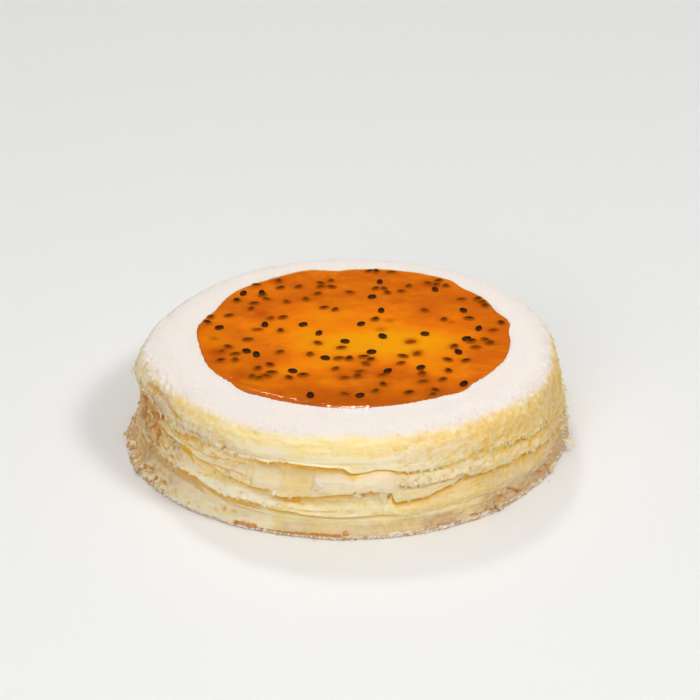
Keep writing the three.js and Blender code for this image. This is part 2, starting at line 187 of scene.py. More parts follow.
# Radii of the shoulder's foot, of the lips of the same edges and of the cake's foot, as (azimuth, radius)
CAP_RADIUS = (
    (-180, 92.8), (-150, 91.4), (-130, 90), (-110, 89.8), (-96, 91), (-84, 92.8), (-70, 92), (-58, 91.6),
    (-45, 93.4), (-30, 94.8), (0, 95.3), (35, 95.9), (60, 95.4), (88, 94.4), (108, 95.8), (140, 95),
)
CAP_LIP = (
    (-180, 94), (-150, 92.8), (-115, 91.6), (-84, 93.6), (-58, 92.4), (-45, 94.5), (-30, 96), (0, 96.5),
    (35, 96.9), (60, 96.9), (88, 97), (108, 97), (140, 96),
)
UPPER_LIP = (
    (-180, 95.5), (-135, 93), (-100, 90.6), (-82, 91), (-60, 93), (-45, 95), (-30, 96.3), (0, 97),
    (30, 97.6), (60, 97.5), (90, 98.2), (135, 97),
)
MIDDLE_LIP = (
    (-180, 97), (-135, 94.2), (-100, 91.4), (-82, 92), (-60, 95), (-40, 97.4), (-20, 98), (0, 97.8),
    (40, 98), (90, 99.2), (135, 98.2),
)
LOWER_LIP = (
    (-180, 97.5), (-135, 95.2), (-100, 92.6), (-84, 93.4), (-60, 95), (-45, 95.2), (-30, 95.6),
    (-20, 96.9), (0, 97.4), (40, 98.1), (90, 99.6), (135, 98.5),
)
FOOT_RADIUS = (
    (-180, 98.2), (-135, 96.6), (-104, 95.6), (-94, 96.2), (-82, 98.6), (-68, 100), (-50, 99.6),
    (-30, 98.9), (-18, 98.2), (0, 98.6), (30, 99.2), (60, 99), (90, 100.2), (120, 99.4), (150, 98.6),
)

# How far each edge hangs out over the layer below it, as (azimuth, overhang)
CAP_OVERHANG = (
    (-180, 1.2), (-90, 1.2), (-66, 2), (-50, 2.4), (-30, 1.3), (-20, 2.4), (-8, 3), (0, 2.2), (4, 0.8),
    (19, 0.6), (25, 0.35), (40, 0.35), (48, 1.1), (58, 1), (68, 0.6), (90, 0.7), (135, 1.5),
)
UPPER_OVERHANG = (
    (-180, 1.2), (-90, 1.6), (-60, 1.5), (-35, 0.9), (-25, 1), (-18, 2.2), (6, 2), (9, 1.2), (20, 1.2),
    (31, 1.7), (50, 1.0), (60, 0.7), (90, 0.8), (135, 1.4),
)
MIDDLE_OVERHANG = (
    (-180, 1), (-90, 1), (-60, 2.4), (-45, 3), (-30, 2.6), (-20, 1.2), (0, 0.8), (14, 0.6), (24, 0.25),
    (66, 0.25), (90, 0.8), (135, 1),
)
LOWER_OVERHANG = ((-180, 0.8), (-45, 0.4), (-15, 0.7), (12, 0.7), (26, 0.3), (62, 0.3), (90, 0.8))

# How far each layer's face swells between its two edges, as (azimuth, swell)
NO_SWELL = ((-180, 0), (0, 0))
UPPER_SWELL = (
    (-180, 0.7), (-90, 0.4), (-60, 0.6), (-26.5, 0), (-23.5, 1.1), (-12, 0.4), (-9, 0.3), (-5, 1.3),
    (6, 1.6), (14, 0.8), (60, 0.5), (120, 0.6),
)
MIDDLE_SWELL = ((-180, 0.6), (-90, 0.5), (-40, 1), (-10, 0.5), (40, 0.8), (120, 0.6))
LOWER_SWELL = ((-180, 0.2), (0, 0.2))
BASE_SWELL = ((-180, 0.3), (-90, 0.6), (-40, 0.9), (0, 0.4), (40, 0.5), (90, 0.3))

# How frayed each edge is, as (azimuth, share)
CAP_FRAY = (
    (-180, 0.6), (-90, 0.6), (-60, 1.1), (-45, 1), (-24, 0.9), (-18, 0.4), (-10, 0.2), (0, 0.15), (12, 0.2),
    (16, 0.7), (30, 0.9), (60, 0.7), (90, 0.8), (135, 0.6),
)
UPPER_FRAY = (
    (-180, 0.6), (-80, 0.9), (-55, 0.4), (-38, 0.4), (-15, 0.25), (5, 0.3), (8, 1.1), (12, 1), (13, 0.4),
    (24, 0.6), (35, 0.8), (50, 0.6), (90, 0.8),
)
MIDDLE_FRAY = ((-180, 0.6), (-80, 1), (-55, 1), (-28, 0.9), (-18, 0.4), (0, 0.15), (60, 0.3), (90, 0.6))
LOWER_FRAY = ((-180, 0.3), (-60, 0.4), (-15, 0.15), (40, 0.2), (90, 0.4))
FOOT_FRAY = ((-180, 0.7), (-90, 1.2), (-60, 1.2), (-45, 0.6), (-15, 0.5), (20, 0.6), (40, 1), (90, 1.1))

# Thin crepe edges that show inside a layer's face: the layer, how far each stands out, and the (azimuth,
# height) of its corners. Its place in the list sets its noise.
MINOR_LEDGES = (
    ("upper", 0.9, ((12.6, 24.6), (15, 22.9), (18, 22.6), (24, 22.9), (28, 23.6), (33, 24.4))),
    ("upper", 0.35, ((-46, 28.8), (-36, 27.4), (-30, 28.7), (-24.6, 28.4))),
    ("upper", 0.35, ((-42, 25.2), (-33, 24.1), (-28, 24.6), (-24.4, 23.4))),
    ("upper", 0.3, ((96, 21), (112, 23), (128, 24.4), (146, 23.6))),
    ("upper", 0.35, ((-176, 26.4), (-160, 27.6), (-140, 26.2), (-122, 26.8))),
    ("cap", 0.3, ((31.5, 31.2), (36, 31.4), (41, 30.6))),
    ("cap", 0.5, ((-86, 37), (-74, 38.4), (-64, 37.8), (-56, 36.4), (-49, 36.2))),
    ("cap", 0.3, ((104, 32), (118, 34), (134, 35.6), (150, 34.8))),
    ("middle", 0.3, ((-76, 19), (-66, 21.5), (-58, 21), (-50, 20.2), (-44, 21))),
    ("middle", 0.3, ((150, 14.4), (164, 15.6), (178, 14.8))),
    ("base", 0.5, ((36, 6), (41, 7.2), (45, 5.2), (50, 4))),
    ("base", 0.4, ((53, 6.8), (58, 6.2), (64, 4.4), (72, 3.4))),
    ("base", 0.4, ((-82, 5.2), (-70, 5.8), (-60, 4.8), (-52, 5.2))),
)
FRILLY_LEDGE = MINOR_LEDGES[0]

# Torn flakes that stand out from the side: the azimuth, the width, and the (radius, height) of the root, the
# bend and the tip
FLAKES = (
    (75.5, 3, ((96, 4.4), (102.6, 5), (104.4, 2.6))), (63, 5, ((96.5, 1.6), (99.8, 2.6), (101, 1.2))),
    (41, 6, ((96.5, 1.8), (99.6, 3.2), (100.6, 1.8))), (-64, 6, ((97, 2), (100.6, 3), (101.4, 1.4))),
    (-80, 7, ((96, 2.2), (98.8, 4), (100, 3.2))), (81, 2.4, ((96.5, 12.7), (100.2, 13.3), (101, 11.4))),
    (9.4, 5, ((96.6, 23.2), (97.5, 19.2), (97.3, 16.2))),
    (3.4, 4, ((96.8, 23), (97.4, 20.6), (97.3, 19.4))), (-83, 6, ((91.5, 34.5), (94.4, 33.2), (95, 31.6))),
    (-50, 2.6, ((93, 33.6), (94.2, 32.2), (94.6, 31))),
    (-17.6, 2.2, ((95, 21.4), (97.6, 19.4), (98.2, 18.2))),
    (-5.4, 3, ((96.2, 26.4), (97.7, 25.2), (98.1, 24.4))),
)

# How torn and fuzzy the crepes' faces are, as (azimuth, share)
FUZZ = (
    (-180, 0.6), (-90, 0.6), (-60, 0.9), (-40, 0.8), (-26, 0.6), (-20, 0.25), (6, 0.25), (14, 0.6), (30, 0.7),
    (60, 0.65), (90, 0.75), (140, 0.6),
)

# The sugar's lower edge, as (azimuth, angle up the shoulder)
SUGAR_EDGE = (
    (-180, 40), (-120, 42), (-92, 42), (-87, 42), (-79, 44), (-72, 48), (-65, 50), (-55, 54), (-48, 58),
    (-34, 59), (-23, 57), (-1, 61), (14, 57), (32, 56), (46, 53), (51, 48), (56, 44), (63, 39), (78, 38),
    (86, 40), (100, 32), (140, 38),
)

# The glaze's uneven outline, as (azimuth about its own centre, difference from its mean radius)
GLAZE_WANDER = (
    (-180, -1.4), (-174, -2.8), (-161, 1.2), (-145, 0), (-130, 0.5), (-110, -2.1), (-95, 0.6), (-80, -0.7),
    (-58, 0.7), (-50, 0.2), (-41, 2), (-30, 0.4), (-14, -0.4), (18, -1.1), (31, -0.5), (40, 1.3),
    (47, -0.5), (73, 0.3), (91, -0.6), (99, 1.4), (110, -1), (121, 0.5), (133, 0), (141, 2.5),
    (152, 1.6), (163, 0.5),
)

# Seeds in the glaze, as (right, behind, darkness, turn). The first stand proud of it. Of the sunk ones, the
# darkest lie highest.
PROUD_SEEDS = (
    (-38.6, -20.2, 1, 100), (-36, 9, 0.9, 95), (-14.4, -57.6, 1, 95), (50.4, -47.6, 1, 60),
    (18.4, -36, 0.8, 40), (11.6, -18, 0.9, 10), (-8.6, -23.8, 0.85, 160), (-43, -17.2, 0.8, 150),
    (49.4, -18, 0.85, 120), (53.8, -5.2, 0.9, 20), (32.6, -32.8, 0.75, 30), (-22.4, -36, 0.8, 165),
    (0, -7.8, 0.75, 170), (-11.6, 0.4, 0.7, 60), (7.2, 9.6, 0.75, 35), (16.6, -2.6, 1, 130),
    (16.4, 23.6, 0.75, 90), (-47.2, 41.8, 0.85, 70), (-38.8, 42.6, 0.8, 95), (-56.2, 5.8, 0.75, 15),
    (-18.8, 9, 0.75, 20), (12.4, 38, 0.75, 20), (16.2, 54.4, 0.7, 90), (41.8, 46, 0.7, 110),
    (53.8, 23.6, 0.75, 130), (35.4, -0.4, 0.7, 170), (59.8, 5.2, 0.75, 70), (6.4, -58, 0.75, 30),
)
SUNK_SEEDS = (
    (55.8, -6.8, 0.75, 40), (-17.8, -39, 0.7, 10), (-23.8, -41.4, 0.65, 120), (11.2, -24.6, 0.75, 50),
    (8.2, -22, 0.55, 10), (1.8, -23.6, 0.7, 80), (-12, -8.6, 0.55, 130), (-1.6, -13.2, 0.5, 20),
    (13.6, 15.2, 0.65, 70), (19.6, 43.2, 0.55, 110), (14.2, 47.8, 0.55, 60), (18, 47.6, 0.5, 100),
    (26, 44.6, 0.6, 30), (29.6, 50.4, 0.45, 80), (2, 43.6, 0.5, 150), (11.4, 67, 0.7, 40),
    (14.6, 67, 0.7, 90), (22, 66, 0.4, 10), (43.8, 56.2, 0.6, 50), (38.8, 53.4, 0.5, 140),
    (42.4, 52, 0.5, 20), (47, 50.8, 0.45, 80), (53.6, 36, 0.45, 20), (61.2, 36.4, 0.65, 60),
    (64, 29.6, 0.6, 100), (63, 33, 0.55, 30), (56, 16, 0.7, 160), (44.6, 15, 0.55, 80),
    (66.2, 3.8, 0.4, 20), (70.2, 11.4, 0.7, 95), (62, -5.4, 0.5, 130), (64, -8.6, 0.5, 60),
    (57.4, -12.8, 0.4, 10), (48, -12, 0.55, 70), (44.6, -24.8, 0.6, 140), (52.4, -25.6, 0.7, 30),
    (44.4, -35, 0.65, 100), (41.6, -43.2, 0.55, 50), (29, -7.6, 0.3, 20), (31.4, -19, 0.35, 70),
    (25.2, -21.4, 0.6, 150), (24.2, -28, 0.45, 40), (33, -37.6, 0.5, 90), (33.4, -45, 0.4, 10),
    (38, -53, 0.6, 120), (37, -56.6, 0.5, 60), (27, -55, 0.7, 30), (16.2, -47.4, 0.6, 100),
    (16.2, -39, 0.45, 20), (13, -53.4, 0.5, 70), (0, -56.2, 0.45, 140), (0, -41.6, 0.4, 10),
    (5.4, -40, 0.5, 80), (6.2, -36, 0.4, 40), (9, -28.6, 0.4, 120), (-4, -33.2, 0.45, 60),
    (-2.6, -23.4, 0.5, 20), (-15.2, -19.4, 0.5, 90), (-28.4, -17.6, 0.55, 50), (-32.4, -29.4, 0.65, 130),
    (-31.4, -36.8, 0.55, 10), (-37.4, -32.8, 0.55, 70), (-36.4, -41.6, 0.5, 30), (-39.4, -40.4, 0.45, 100),
    (-33.6, -40, 0.45, 150), (-53.8, -25.4, 0.7, 40), (-47.6, -24.8, 0.5, 90), (-47.8, -19.4, 0.5, 20),
    (-51.4, -12.4, 0.55, 120), (-54, -17, 0.35, 60), (-43, -5.4, 0.55, 10), (-62.2, 12, 0.85, 135),
    (-61, 17.4, 0.5, 80), (-52.6, 18.8, 0.65, 30), (-50, 34.8, 0.75, 100), (-38.2, 40.4, 0.5, 50),
    (-36.4, 36.4, 0.5, 140), (-41.8, 31.6, 0.6, 20), (-43, 25.8, 0.6, 70), (-27, 33.4, 0.4, 110),
    (-30.2, 48.6, 0.6, 40), (-31.4, 56, 0.5, 90), (-41.8, 51.6, 0.6, 10), (-21.8, 49.6, 0.5, 60),
    (-11.6, 53.4, 0.6, 130), (-11.4, 49.6, 0.5, 30), (-6.8, 56.2, 0.55, 80), (-6.6, 49.4, 0.6, 150),
    (-12.8, 42, 0.6, 50), (-18.2, 36.2, 0.5, 100), (-9.6, 27.2, 0.7, 20), (-4.6, 25.2, 0.6, 70),
    (36.2, 24.2, 0.5, 120), (-28.2, 17, 0.6, 40), (-28.8, 3.6, 0.65, 90), (-39, 4.6, 0.3, 10),
    (-33.6, 16.4, 0.35, 60),
)

# Where the fruit in the glaze is amber, as (right, behind, half its width, half its depth, share)
AMBER_PATCHES = (
    (14, -6, 24, 15, 0.95), (30, -14, 17, 13, 0.7), (-4, -12, 18, 12, 0.65), (-22, -34, 13, 8, 0.6),
    (-6, -46, 9, 6, 0.45), (-60, -2, 7, 12, 0.6), (42, -2, 17, 10, 0.45), (-30, 4, 17, 12, 0.4),
    (4, 18, 26, 12, 0.45), (38, -30, 10, 7, 0.4), (-48, -28, 7, 6, 0.35), (-46, 12, 8, 6, 0.3),
)
# Where it is red, as (right, behind, reach)
RED_SPOTS = (
    (20, 14, 2.2), (16, 5, 2.4), (29, -6, 2.6), (32, -17, 2.4), (-56, -17, 4.5), (-58, -4, 2),
    (-41, 5, 1.4), (-38, 22, 3.4), (-33, 56, 4), (40, 52, 4), (48, 12, 2),
)
# Where it is dark and cloudy, as (right, behind, half its width, half its depth)
DARK_CLOUDS = (
    (-40, -40, 6, 3.5), (-33, -39, 5, 3), (-45, -36, 4, 4), (8, -36, 6, 4), (6, -26, 5, 3), (58, -8, 6, 4),
    (33, -42, 5, 4), (-2, -40, 4, 4), (4, -66, 44, 9), (6, -67, 50, 6), (42, -54, 12, 6), (-38, -56, 14, 7),
    (4, -56, 46, 12), (-50, -34, 14, 14), (-58, -2, 9, 16),
)


def ease(share):
    """A share from 0 to 1, made to start and end slowly."""
    return share * share * (3 - 2 * share)


def around(knots, azimuth):
    """The value at each azimuth of a list of knots that closes round the cake, eased between knots."""
    table = np.array(tuple(knots) + ((180, knots[0][1]),), float)
    wrapped = (np.asarray(azimuth, float) + 180) % 360 - 180
    after = np.clip(np.searchsorted(table[:, 0], wrapped, side="right"), 1, len(table) - 1)
    low, high = table[after - 1], table[after]
    share = (wrapped - low[..., 0]) / (high[..., 0] - low[..., 0])
    return low[..., 1] + (high[..., 1] - low[..., 1]) * ease(share)


def unevenness(azimuth, phase):
    """The solids' own uneven wave round the cake, between -1 and 1."""
    turn = np.radians(azimuth) + phase
    return sum(share * np.sin(count * turn) for count, share in RAGGED_WAVES)


def points_at(azimuth, radius, height, centre_x=0.0):
    """Points, in millimetres, at azimuths, radii and heights about an upright axis."""
    turn = np.radians(azimuth)
    parts = (centre_x + radius * np.sin(turn), -radius * np.cos(turn), height + 0 * turn)
    return np.stack(np.broadcast_arrays(*parts), -1)


# ---------------------------------------------------------------- noise

NOISE_GAIN = 1.6  # brings the noise out to about -1 and 1
SEED_STEP = 17.31  # how far apart in the noise two seeds lie
RIDGE_SHARPNESS = 2.2

noise_draw = np.random.default_rng(11)
NOISE_ORDER = np.tile(noise_draw.permutation(256), 2)
NOISE_SLOPES = noise_draw.normal(size=(256, 3))
NOISE_SLOPES /= np.linalg.norm(NOISE_SLOPES, axis=1, keepdims=True)


def noise(points, scale, seed=0):
    """Smooth noise between about -1 and 1 at points. scale is the size of its lumps along x, y and z."""
    place = points / np.asarray(scale, float) + SEED_STEP * seed
    cell = np.floor(place).astype(int)
    part = place - cell
    fade = part**3 * (part * (part * 6 - 15) + 10)
    total = np.zeros(part.shape[:-1])
    for corner in range(8):
        step = np.array([corner & 1, corner >> 1 & 1, corner >> 2 & 1])
        x, y, z = np.moveaxis((cell + step) & 255, -1, 0)
        slope = NOISE_SLOPES[NOISE_ORDER[NOISE_ORDER[NOISE_ORDER[x] + y] + z]]
        weight = np.prod(np.where(step, fade, 1 - fade), axis=-1)
        total += weight * np.sum(slope * (part - step), axis=-1)
    return NOISE_GAIN * total


def layered_noise(points, scale, octaves, seed=0):
    """Noise with finer, weaker noise laid on it."""
    scale = np.asarray(scale, float)
    return sum(noise(points, scale / 2**level, seed + level) / 2**level for level in range(octaves))


def ridges(points, scale, seed=0):
    """Sharp crests, 1 on a crest and 0 well away from it."""
    return np.clip(1 - RIDGE_SHARPNESS * np.abs(noise(points, scale, seed)), 0, 1)


def smooth_step(value, low, high):
    """0 up to low, 1 from high on, and eased between them."""
    return ease(np.clip((value - low) / (high - low), 0, 1))


def hump(value, middle, width):
    """1 at the middle, falling to 0 on both sides."""
    return np.exp(-(((value - middle) / width) ** 2))


def between(azimuth, start, end, fade):
    """1 between two azimuths, falling to 0 over fade degrees outside them."""
    return smooth_step(azimuth, start - fade, start) * (1 - smooth_step(azimuth, end, end + fade))


# ---------------------------------------------------------------- edges between layers

TATTER_NOISE = 30  # where in the noise an edge's tatters lie, times its phase
FLARE_NOISE = 50  # and where its flare lies


class Edge:
    """The edge that parts two layers: the lip of the upper one and the neck of the lower one under it.

    shut holds the azimuths between which the edge runs into the layer below, and the fade at both ends. nicks
    are small notches, each as (azimuth, width, rise). phase tells its noise from that of the other edges.
    """

    def __init__(self, core_height, phase, heights, lips, overhangs, fray, shut=None, nicks=()):
        self.core_height = core_height
        self.phase = phase
        self.heights = heights
        self.lips = lips
        self.overhangs = overhangs
        self.fray = fray
        self.shut = shut
        self.nicks = nicks

    def tatters(self, azimuth):
        """How far the torn edge hangs down, uneven from one millimetre to the next."""
        path = points_at(azimuth, SIDE_RADIUS, TATTER_NOISE * self.phase)
        coarse = noise(path, 3.2, 1)
        fine = noise(path, 1.3, 2)
        tongue = np.clip(noise(path, 2.1, 3), 0, 1) ** 1.2
        return around(self.fray, azimuth) * (0.3 * coarse + 0.3 * fine + 1.0 * tongue)

    def height(self, azimuth):
        plain = around(self.heights, azimuth) + RAGGED_HEIGHT * unevenness(azimuth, self.phase)
        nicked = sum(rise * hump(azimuth, middle, width) for middle, width, rise in self.nicks)
        return plain - self.tatters(azimuth) + nicked

    def lip(self, azimuth):
        path = points_at(azimuth, SIDE_RADIUS, FLARE_NOISE * self.phase)
        flare = around(self.fray, azimuth) * (0.35 * noise(path, 2.4, 4) + 0.2 * noise(path, 1.2, 5))
        return around(self.lips, azimuth) + RAGGED_REACH * unevenness(azimuth, self.phase + 1) + flare

    def overhang(self, azimuth):
        overhang = around(self.overhangs, azimuth)
        return overhang * (1 - between(azimuth, *self.shut)) if self.shut else overhang

    def neck(self, azimuth):
        """The radius of the face below where it meets this edge."""
        return self.lip(azimuth) - self.overhang(azimuth)

    def height_under(self, azimuth, radius):
        """The height of the edge's underside, which slopes from the core out to the lip."""
        share = (radius - CORE_RADIUS) / (self.lip(azimuth) - CORE_RADIUS)
        return self.core_height + (self.height(azimuth) - self.core_height) * share


cap_edge = Edge(31, 0.3, CAP_EDGE, CAP_LIP, CAP_OVERHANG, CAP_FRAY, shut=(28, 43, 3),
                nicks=((-22.2, 1.3, 0.8), (-14.2, 0.4, 0.5), (-31.5, 0.5, 1.0)))
upper_edge = Edge(20, 1.7, UPPER_EDGE, UPPER_LIP, UPPER_OVERHANG, UPPER_FRAY,
                  nicks=((2.5, 0.55, 1.5), (6.2, 0.4, 1.0), (-18.6, 1.1, 1.0), (11.4, 0.5, 2.5)))
middle_edge = Edge(11.5, 2.9, MIDDLE_EDGE, MIDDLE_LIP, MIDDLE_OVERHANG, MIDDLE_FRAY, shut=(15, 70, 4))
lower_edge = Edge(7.6, 4.1, LOWER_EDGE, LOWER_LIP, LOWER_OVERHANG, LOWER_FRAY, shut=(-17, 74, 6))


# ---------------------------------------------------------------- meshes

MASKS = ("cream", "gold", "crust", "sugar", "groove", "tan")


def new_object(name, points, faces, masks=None, smooth=True):
    """A mesh from points in millimetres, faces of three or four corners, and masks of one value a point."""
    points = np.asarray(points, float).reshape(-1, 3) * MM
    faces = [np.asarray(group, int) for group in faces if len(group)]
    mesh = bpy.data.meshes.new(name)
    mesh.vertices.add(len(points))
    mesh.vertices.foreach_set("co", points.astype(np.float32).ravel())
    corners = np.concatenate([group.ravel() for group in faces])
    sizes = np.concatenate([np.full(len(group), group.shape[1]) for group in faces])
    mesh.loops.add(len(corners))
    mesh.loops.foreach_set("vertex_index", corners.astype(np.int32))
    mesh.polygons.add(len(sizes))
    starts = np.concatenate([[0], np.cumsum(sizes)[:-1]])
    mesh.polygons.foreach_set("loop_start", starts.astype(np.int32))
    mesh.polygons.foreach_set("use_smooth", np.full(len(sizes), smooth))
    for mask, values in (masks or {}).items():
        attribute = mesh.attributes.new(mask, "FLOAT", "POINT")
        attribute.data.foreach_set("value", np.asarray(values, np.float32).ravel())
    mesh.update(calc_edges=True)
    mesh.validate()
    piece = bpy.data.objects.new(name, mesh)
    bpy.context.scene.collection.objects.link(piece)
    return piece


def ring_faces(rows, steps):
    """Four-sided faces between neighbouring rings, and the fans that close both ends on a pole."""
    step = np.arange(steps)
    following = (step + 1) % steps
    low = (np.arange(rows - 1) * steps)[:, None]
    quads = np.stack([low + step, low + following, low + steps + following, low + steps + step], -1)
    bottom, top = rows * steps, rows * steps + 1
    last = (rows - 1) * steps
    under = np.stack([np.full(steps, bottom), following, step], -1)
    over = np.stack([np.full(steps, top), last + step, last + following], -1)
    return quads.reshape(-1, 4), np.concatenate([under, over])


class Layer:
    """Rings of points from a layer's underside, up its face and over its top, with each point's masks."""

    def __init__(self, name):
        self.name = name
        self.rings = []
        self.masks = {mask: [] for mask in MASKS}

    def add_ring(self, ring, **masks):
        self.rings.append(ring)
        for mask in MASKS:
            self.masks[mask].append(np.clip(masks.get(mask, 0) + np.zeros(STEPS), 0, 1))

    def add(self, radius, height, **masks):
        self.add_ring(points_at(RING_AZIMUTHS, radius, height), **masks)

    def build(self, bottom, top):
        """The closed mesh. Each ring's masks are as long as the ring, and the poles have none."""
        faces = ring_faces(len(self.rings), STEPS)
        points = np.concatenate([*self.rings, [bottom], [top]])
        masks = {mask: np.concatenate([*values, [0], [0]]) for mask, values in self.masks.items()}
        return new_object(self.name, points, faces, masks)


UNDERSIDE_SHARES = (0.0, 0.5, 0.85)  # how far out its rings lie, from the neck to the lip's corner
LIP_ROUND = 0.7  # radius of a crepe edge's rounded corner
FULL_OVERHANG = 1.1  # from this overhang on, an edge's corner is fully rounded and its shade is full
OPEN_OVERHANG = 0.5  # from this overhang on, an edge stands clear of the layer under it
LIP_FRAY_HEIGHT = 1.4  # how far up from a lip its frayed band reaches
LIP_FRAY_CREAM = 0.5
LEAST_SHARE = 0.02  # what is left of a corner or a gap where an edge is shut
LEDGE_FADE = 2  # degrees in which a minor ledge fades at both ends
FACE_RISE = 0.1  # share of a face's height in which its relief rises from the lip
FACE_FALL = 0.93  # and the share from which it falls to the neck


def lip_round(edge, azimuth):
    """The radius of an edge's rounded corner, which is sharper where the edge hardly stands out."""
    return LIP_ROUND * np.clip(edge.overhang(azimuth) / FULL_OVERHANG, LEAST_SHARE, 1)


def openness(edge, azimuth):
    """1 where an edge stands out over the layer under it, 0 where the two layers run into each other."""
    return np.clip(edge.overhang(azimuth) / OPEN_OVERHANG, 0, 1)


def joined_relief(edge, azimuth):
    """The faces' own relief along an edge where the two layers run into each other."""
    height = edge.height(azimuth)
    points = points_at(azimuth, edge.lip(azimuth), height)
    relief = face_relief(azimuth, height, points) + torn_relief(azimuth, height, points)
    return relief * (1 - openness(edge, azimuth))


def add_underside(layer, edge):
    """The underside, from the core out to the lip's rounded corner."""
    azimuth = RING_AZIMUTHS
    # The underside is painted with shade, fully at the core and where the edge stands clear.
    layer.add(CORE_RADIUS, edge.core_height, groove=1)
    neck = edge.neck(azimuth)
    outer = edge.lip(azimuth) - lip_round(edge, azimuth)
    relief = joined_relief(edge, azimuth)
    for share in UNDERSIDE_SHARES:
        radius = neck + (outer - neck) * share
        layer.add(radius + relief, edge.height_under(azimuth, radius), groove=openness(edge, azimuth))


def add_top(layer, edge):
    """The top, from the neck in to the core, a gap under the layer above."""
    azimuth = RING_AZIMUTHS
    radius = edge.neck(azimuth)
    height = edge.height_under(azimuth, radius) - gap_under(edge, azimuth)
    # The top is painted with shade where the edge above stands clear, and fully at the core.
    layer.add(radius + joined_relief(edge, azimuth), height, groove=openness(edge, azimuth))
    layer.add(CORE_RADIUS, edge.core_height - GAP, groove=1)


def minor_ledges(band, azimuth, height, points):
    """How far a band's thin inner edges stand out, and how much painted shade each point gets under them."""
    reach = np.zeros_like(height)
    groove = np.zeros_like(height)
    for index, (name, depth, path) in enumerate(MINOR_LEDGES):
        if name != band:
            continue
        knots = np.array(path, float)
        fade = between(azimuth, knots[0, 0] + LEDGE_FADE, knots[-1, 0] - LEDGE_FADE, LEDGE_FADE)
        path = points * (1, 1, 0)
        ragged = (0.2 + depth) * (0.7 * noise(path, 2.2, 20 + index) + 0.45 * noise(path, 1.0, 40 + index))
        above = height - np.interp(azimuth, knots[:, 0], knots[:, 1]) - ragged
        lip = depth * (1 + 0.4 * noise(points, 3.0, 60 + index))
        reach += fade * lip * smooth_step(above, -0.25, 0.2) * np.exp(-np.clip(above, 0, None) / 2.6)
        reach -= fade * 0.5 * lip * hump(above, -0.6, 0.6)
        groove += fade * (0.25 + 0.7 * depth) * hump(above, -0.5, 0.6)
    return reach, groove


def face_relief(azimuth, height, points):
    """Relief that every crepe face has: faint bands along it, soft lumps and torn fuzz."""
    bands = 0.17 * noise(points, (15, 15, 1.1), 6) + 0.24 * noise(points, (22, 22, 2.8), 7)
    lumps = 0.3 * noise(points, (9, 9, 6), 8) + 0.18 * noise(points, (4, 4, 2.4), 9)
    fuzz = 0.32 * noise(points, (2.4, 2.4, 1.5), 10) + 0.26 * noise(points, (1.4, 1.4, 1.0), 11)
    return bands + lumps + around(FUZZ, azimuth) * fuzz


def face_shares(rows):
    """How far up a face each of its rings lies: closest at both ends, and closer low down than high up."""
    return 0, 0.004, *(np.arange(1, rows) / (rows - 1)) ** 1.15 * 0.985, 0.997


def add_face(layer, band, rows, foot, head, swell, edges, forms=None):
    """A layer's face, from the edge below up to the edge above. forms gives the face's own shapes."""
    azimuth = RING_AZIMUTHS
    below, above = edges
    open_below = openness(below, azimuth) if below else 1
    open_above = openness(above, azimuth) if above else 0
    round_by = lip_round(below, azimuth) if below else LIP_ROUND
    for share in face_shares(rows):
        height = foot[1] + (head[1] - foot[1]) * share
        radius = foot[0] + (head[0] - foot[0]) * ease(share) + around(swell, azimuth) * np.sin(np.pi * share)
        points = points_at(azimuth, radius, height)
        reach, ledge_painted_shade = minor_ledges(band, azimuth, height, points)
        rise, fall = smooth_step(share, 0, FACE_RISE), 1 - smooth_step(share, FACE_FALL, 1)
        hold = (1 - (1 - rise) * open_below) * (1 - (1 - fall) * open_above)
        form, extra = forms(azimuth, height) if forms else (0, {})
        fine = face_relief(azimuth, height, points) + torn_relief(azimuth, height, points)
        corner = 1 - np.clip((height - foot[1]) / round_by, 0, 1)
        rounding = round_by * (1 - np.sqrt(1 - corner**2))
        masks = side_masks(azimuth, height, points, fine, extra)
        # Painted shade under the thin inner edges and under the edge above.
        masks["groove"] = masks["groove"] + ledge_painted_shade
        if above:
            masks["groove"] = masks["groove"] + under_edge(above, azimuth, height)
        if below:
            masks["cream"] = masks["cream"] + LIP_FRAY_CREAM * frayed_lip(below, azimuth, height)
        layer.add(radius + fine * hold + form * rise * fall + reach * hold - rounding, height, **masks)


def gap_under(edge, azimuth):
    """The gap that shows under an edge, which closes to a crease where the edge hardly stands out."""
    return GAP * np.clip(edge.overhang(azimuth) - 0.1, LEAST_SHARE, 1)


def lip_of(edge, azimuth):
    return edge.lip(azimuth), edge.height(azimuth)


def neck_of(edge, azimuth):
    radius = edge.neck(azimuth)
    return radius, edge.height_under(azimuth, radius) - gap_under(edge, azimuth)


def under_edge(edge, azimuth, height):
    """How deep in the shade under an edge each point lies, from 0 to 1."""
    below = np.clip(neck_of(edge, azimuth)[1] - height, 0, None)
    overhang = edge.overhang(azimuth)
    return np.exp(-((below / (0.4 + 0.7 * overhang)) ** 1.4)) * np.clip(overhang / FULL_OVERHANG, 0, 1)


def frayed_lip(edge, azimuth, height):
    """How near a frayed lip each point lies, from 0 to 1."""
    above = height - edge.height(azimuth)
    return np.exp(-np.clip(above, 0, None) / LIP_FRAY_HEIGHT) * np.clip(around(edge.fray, azimuth), 0, 1)


# ---------------------------------------------------------------- the layers

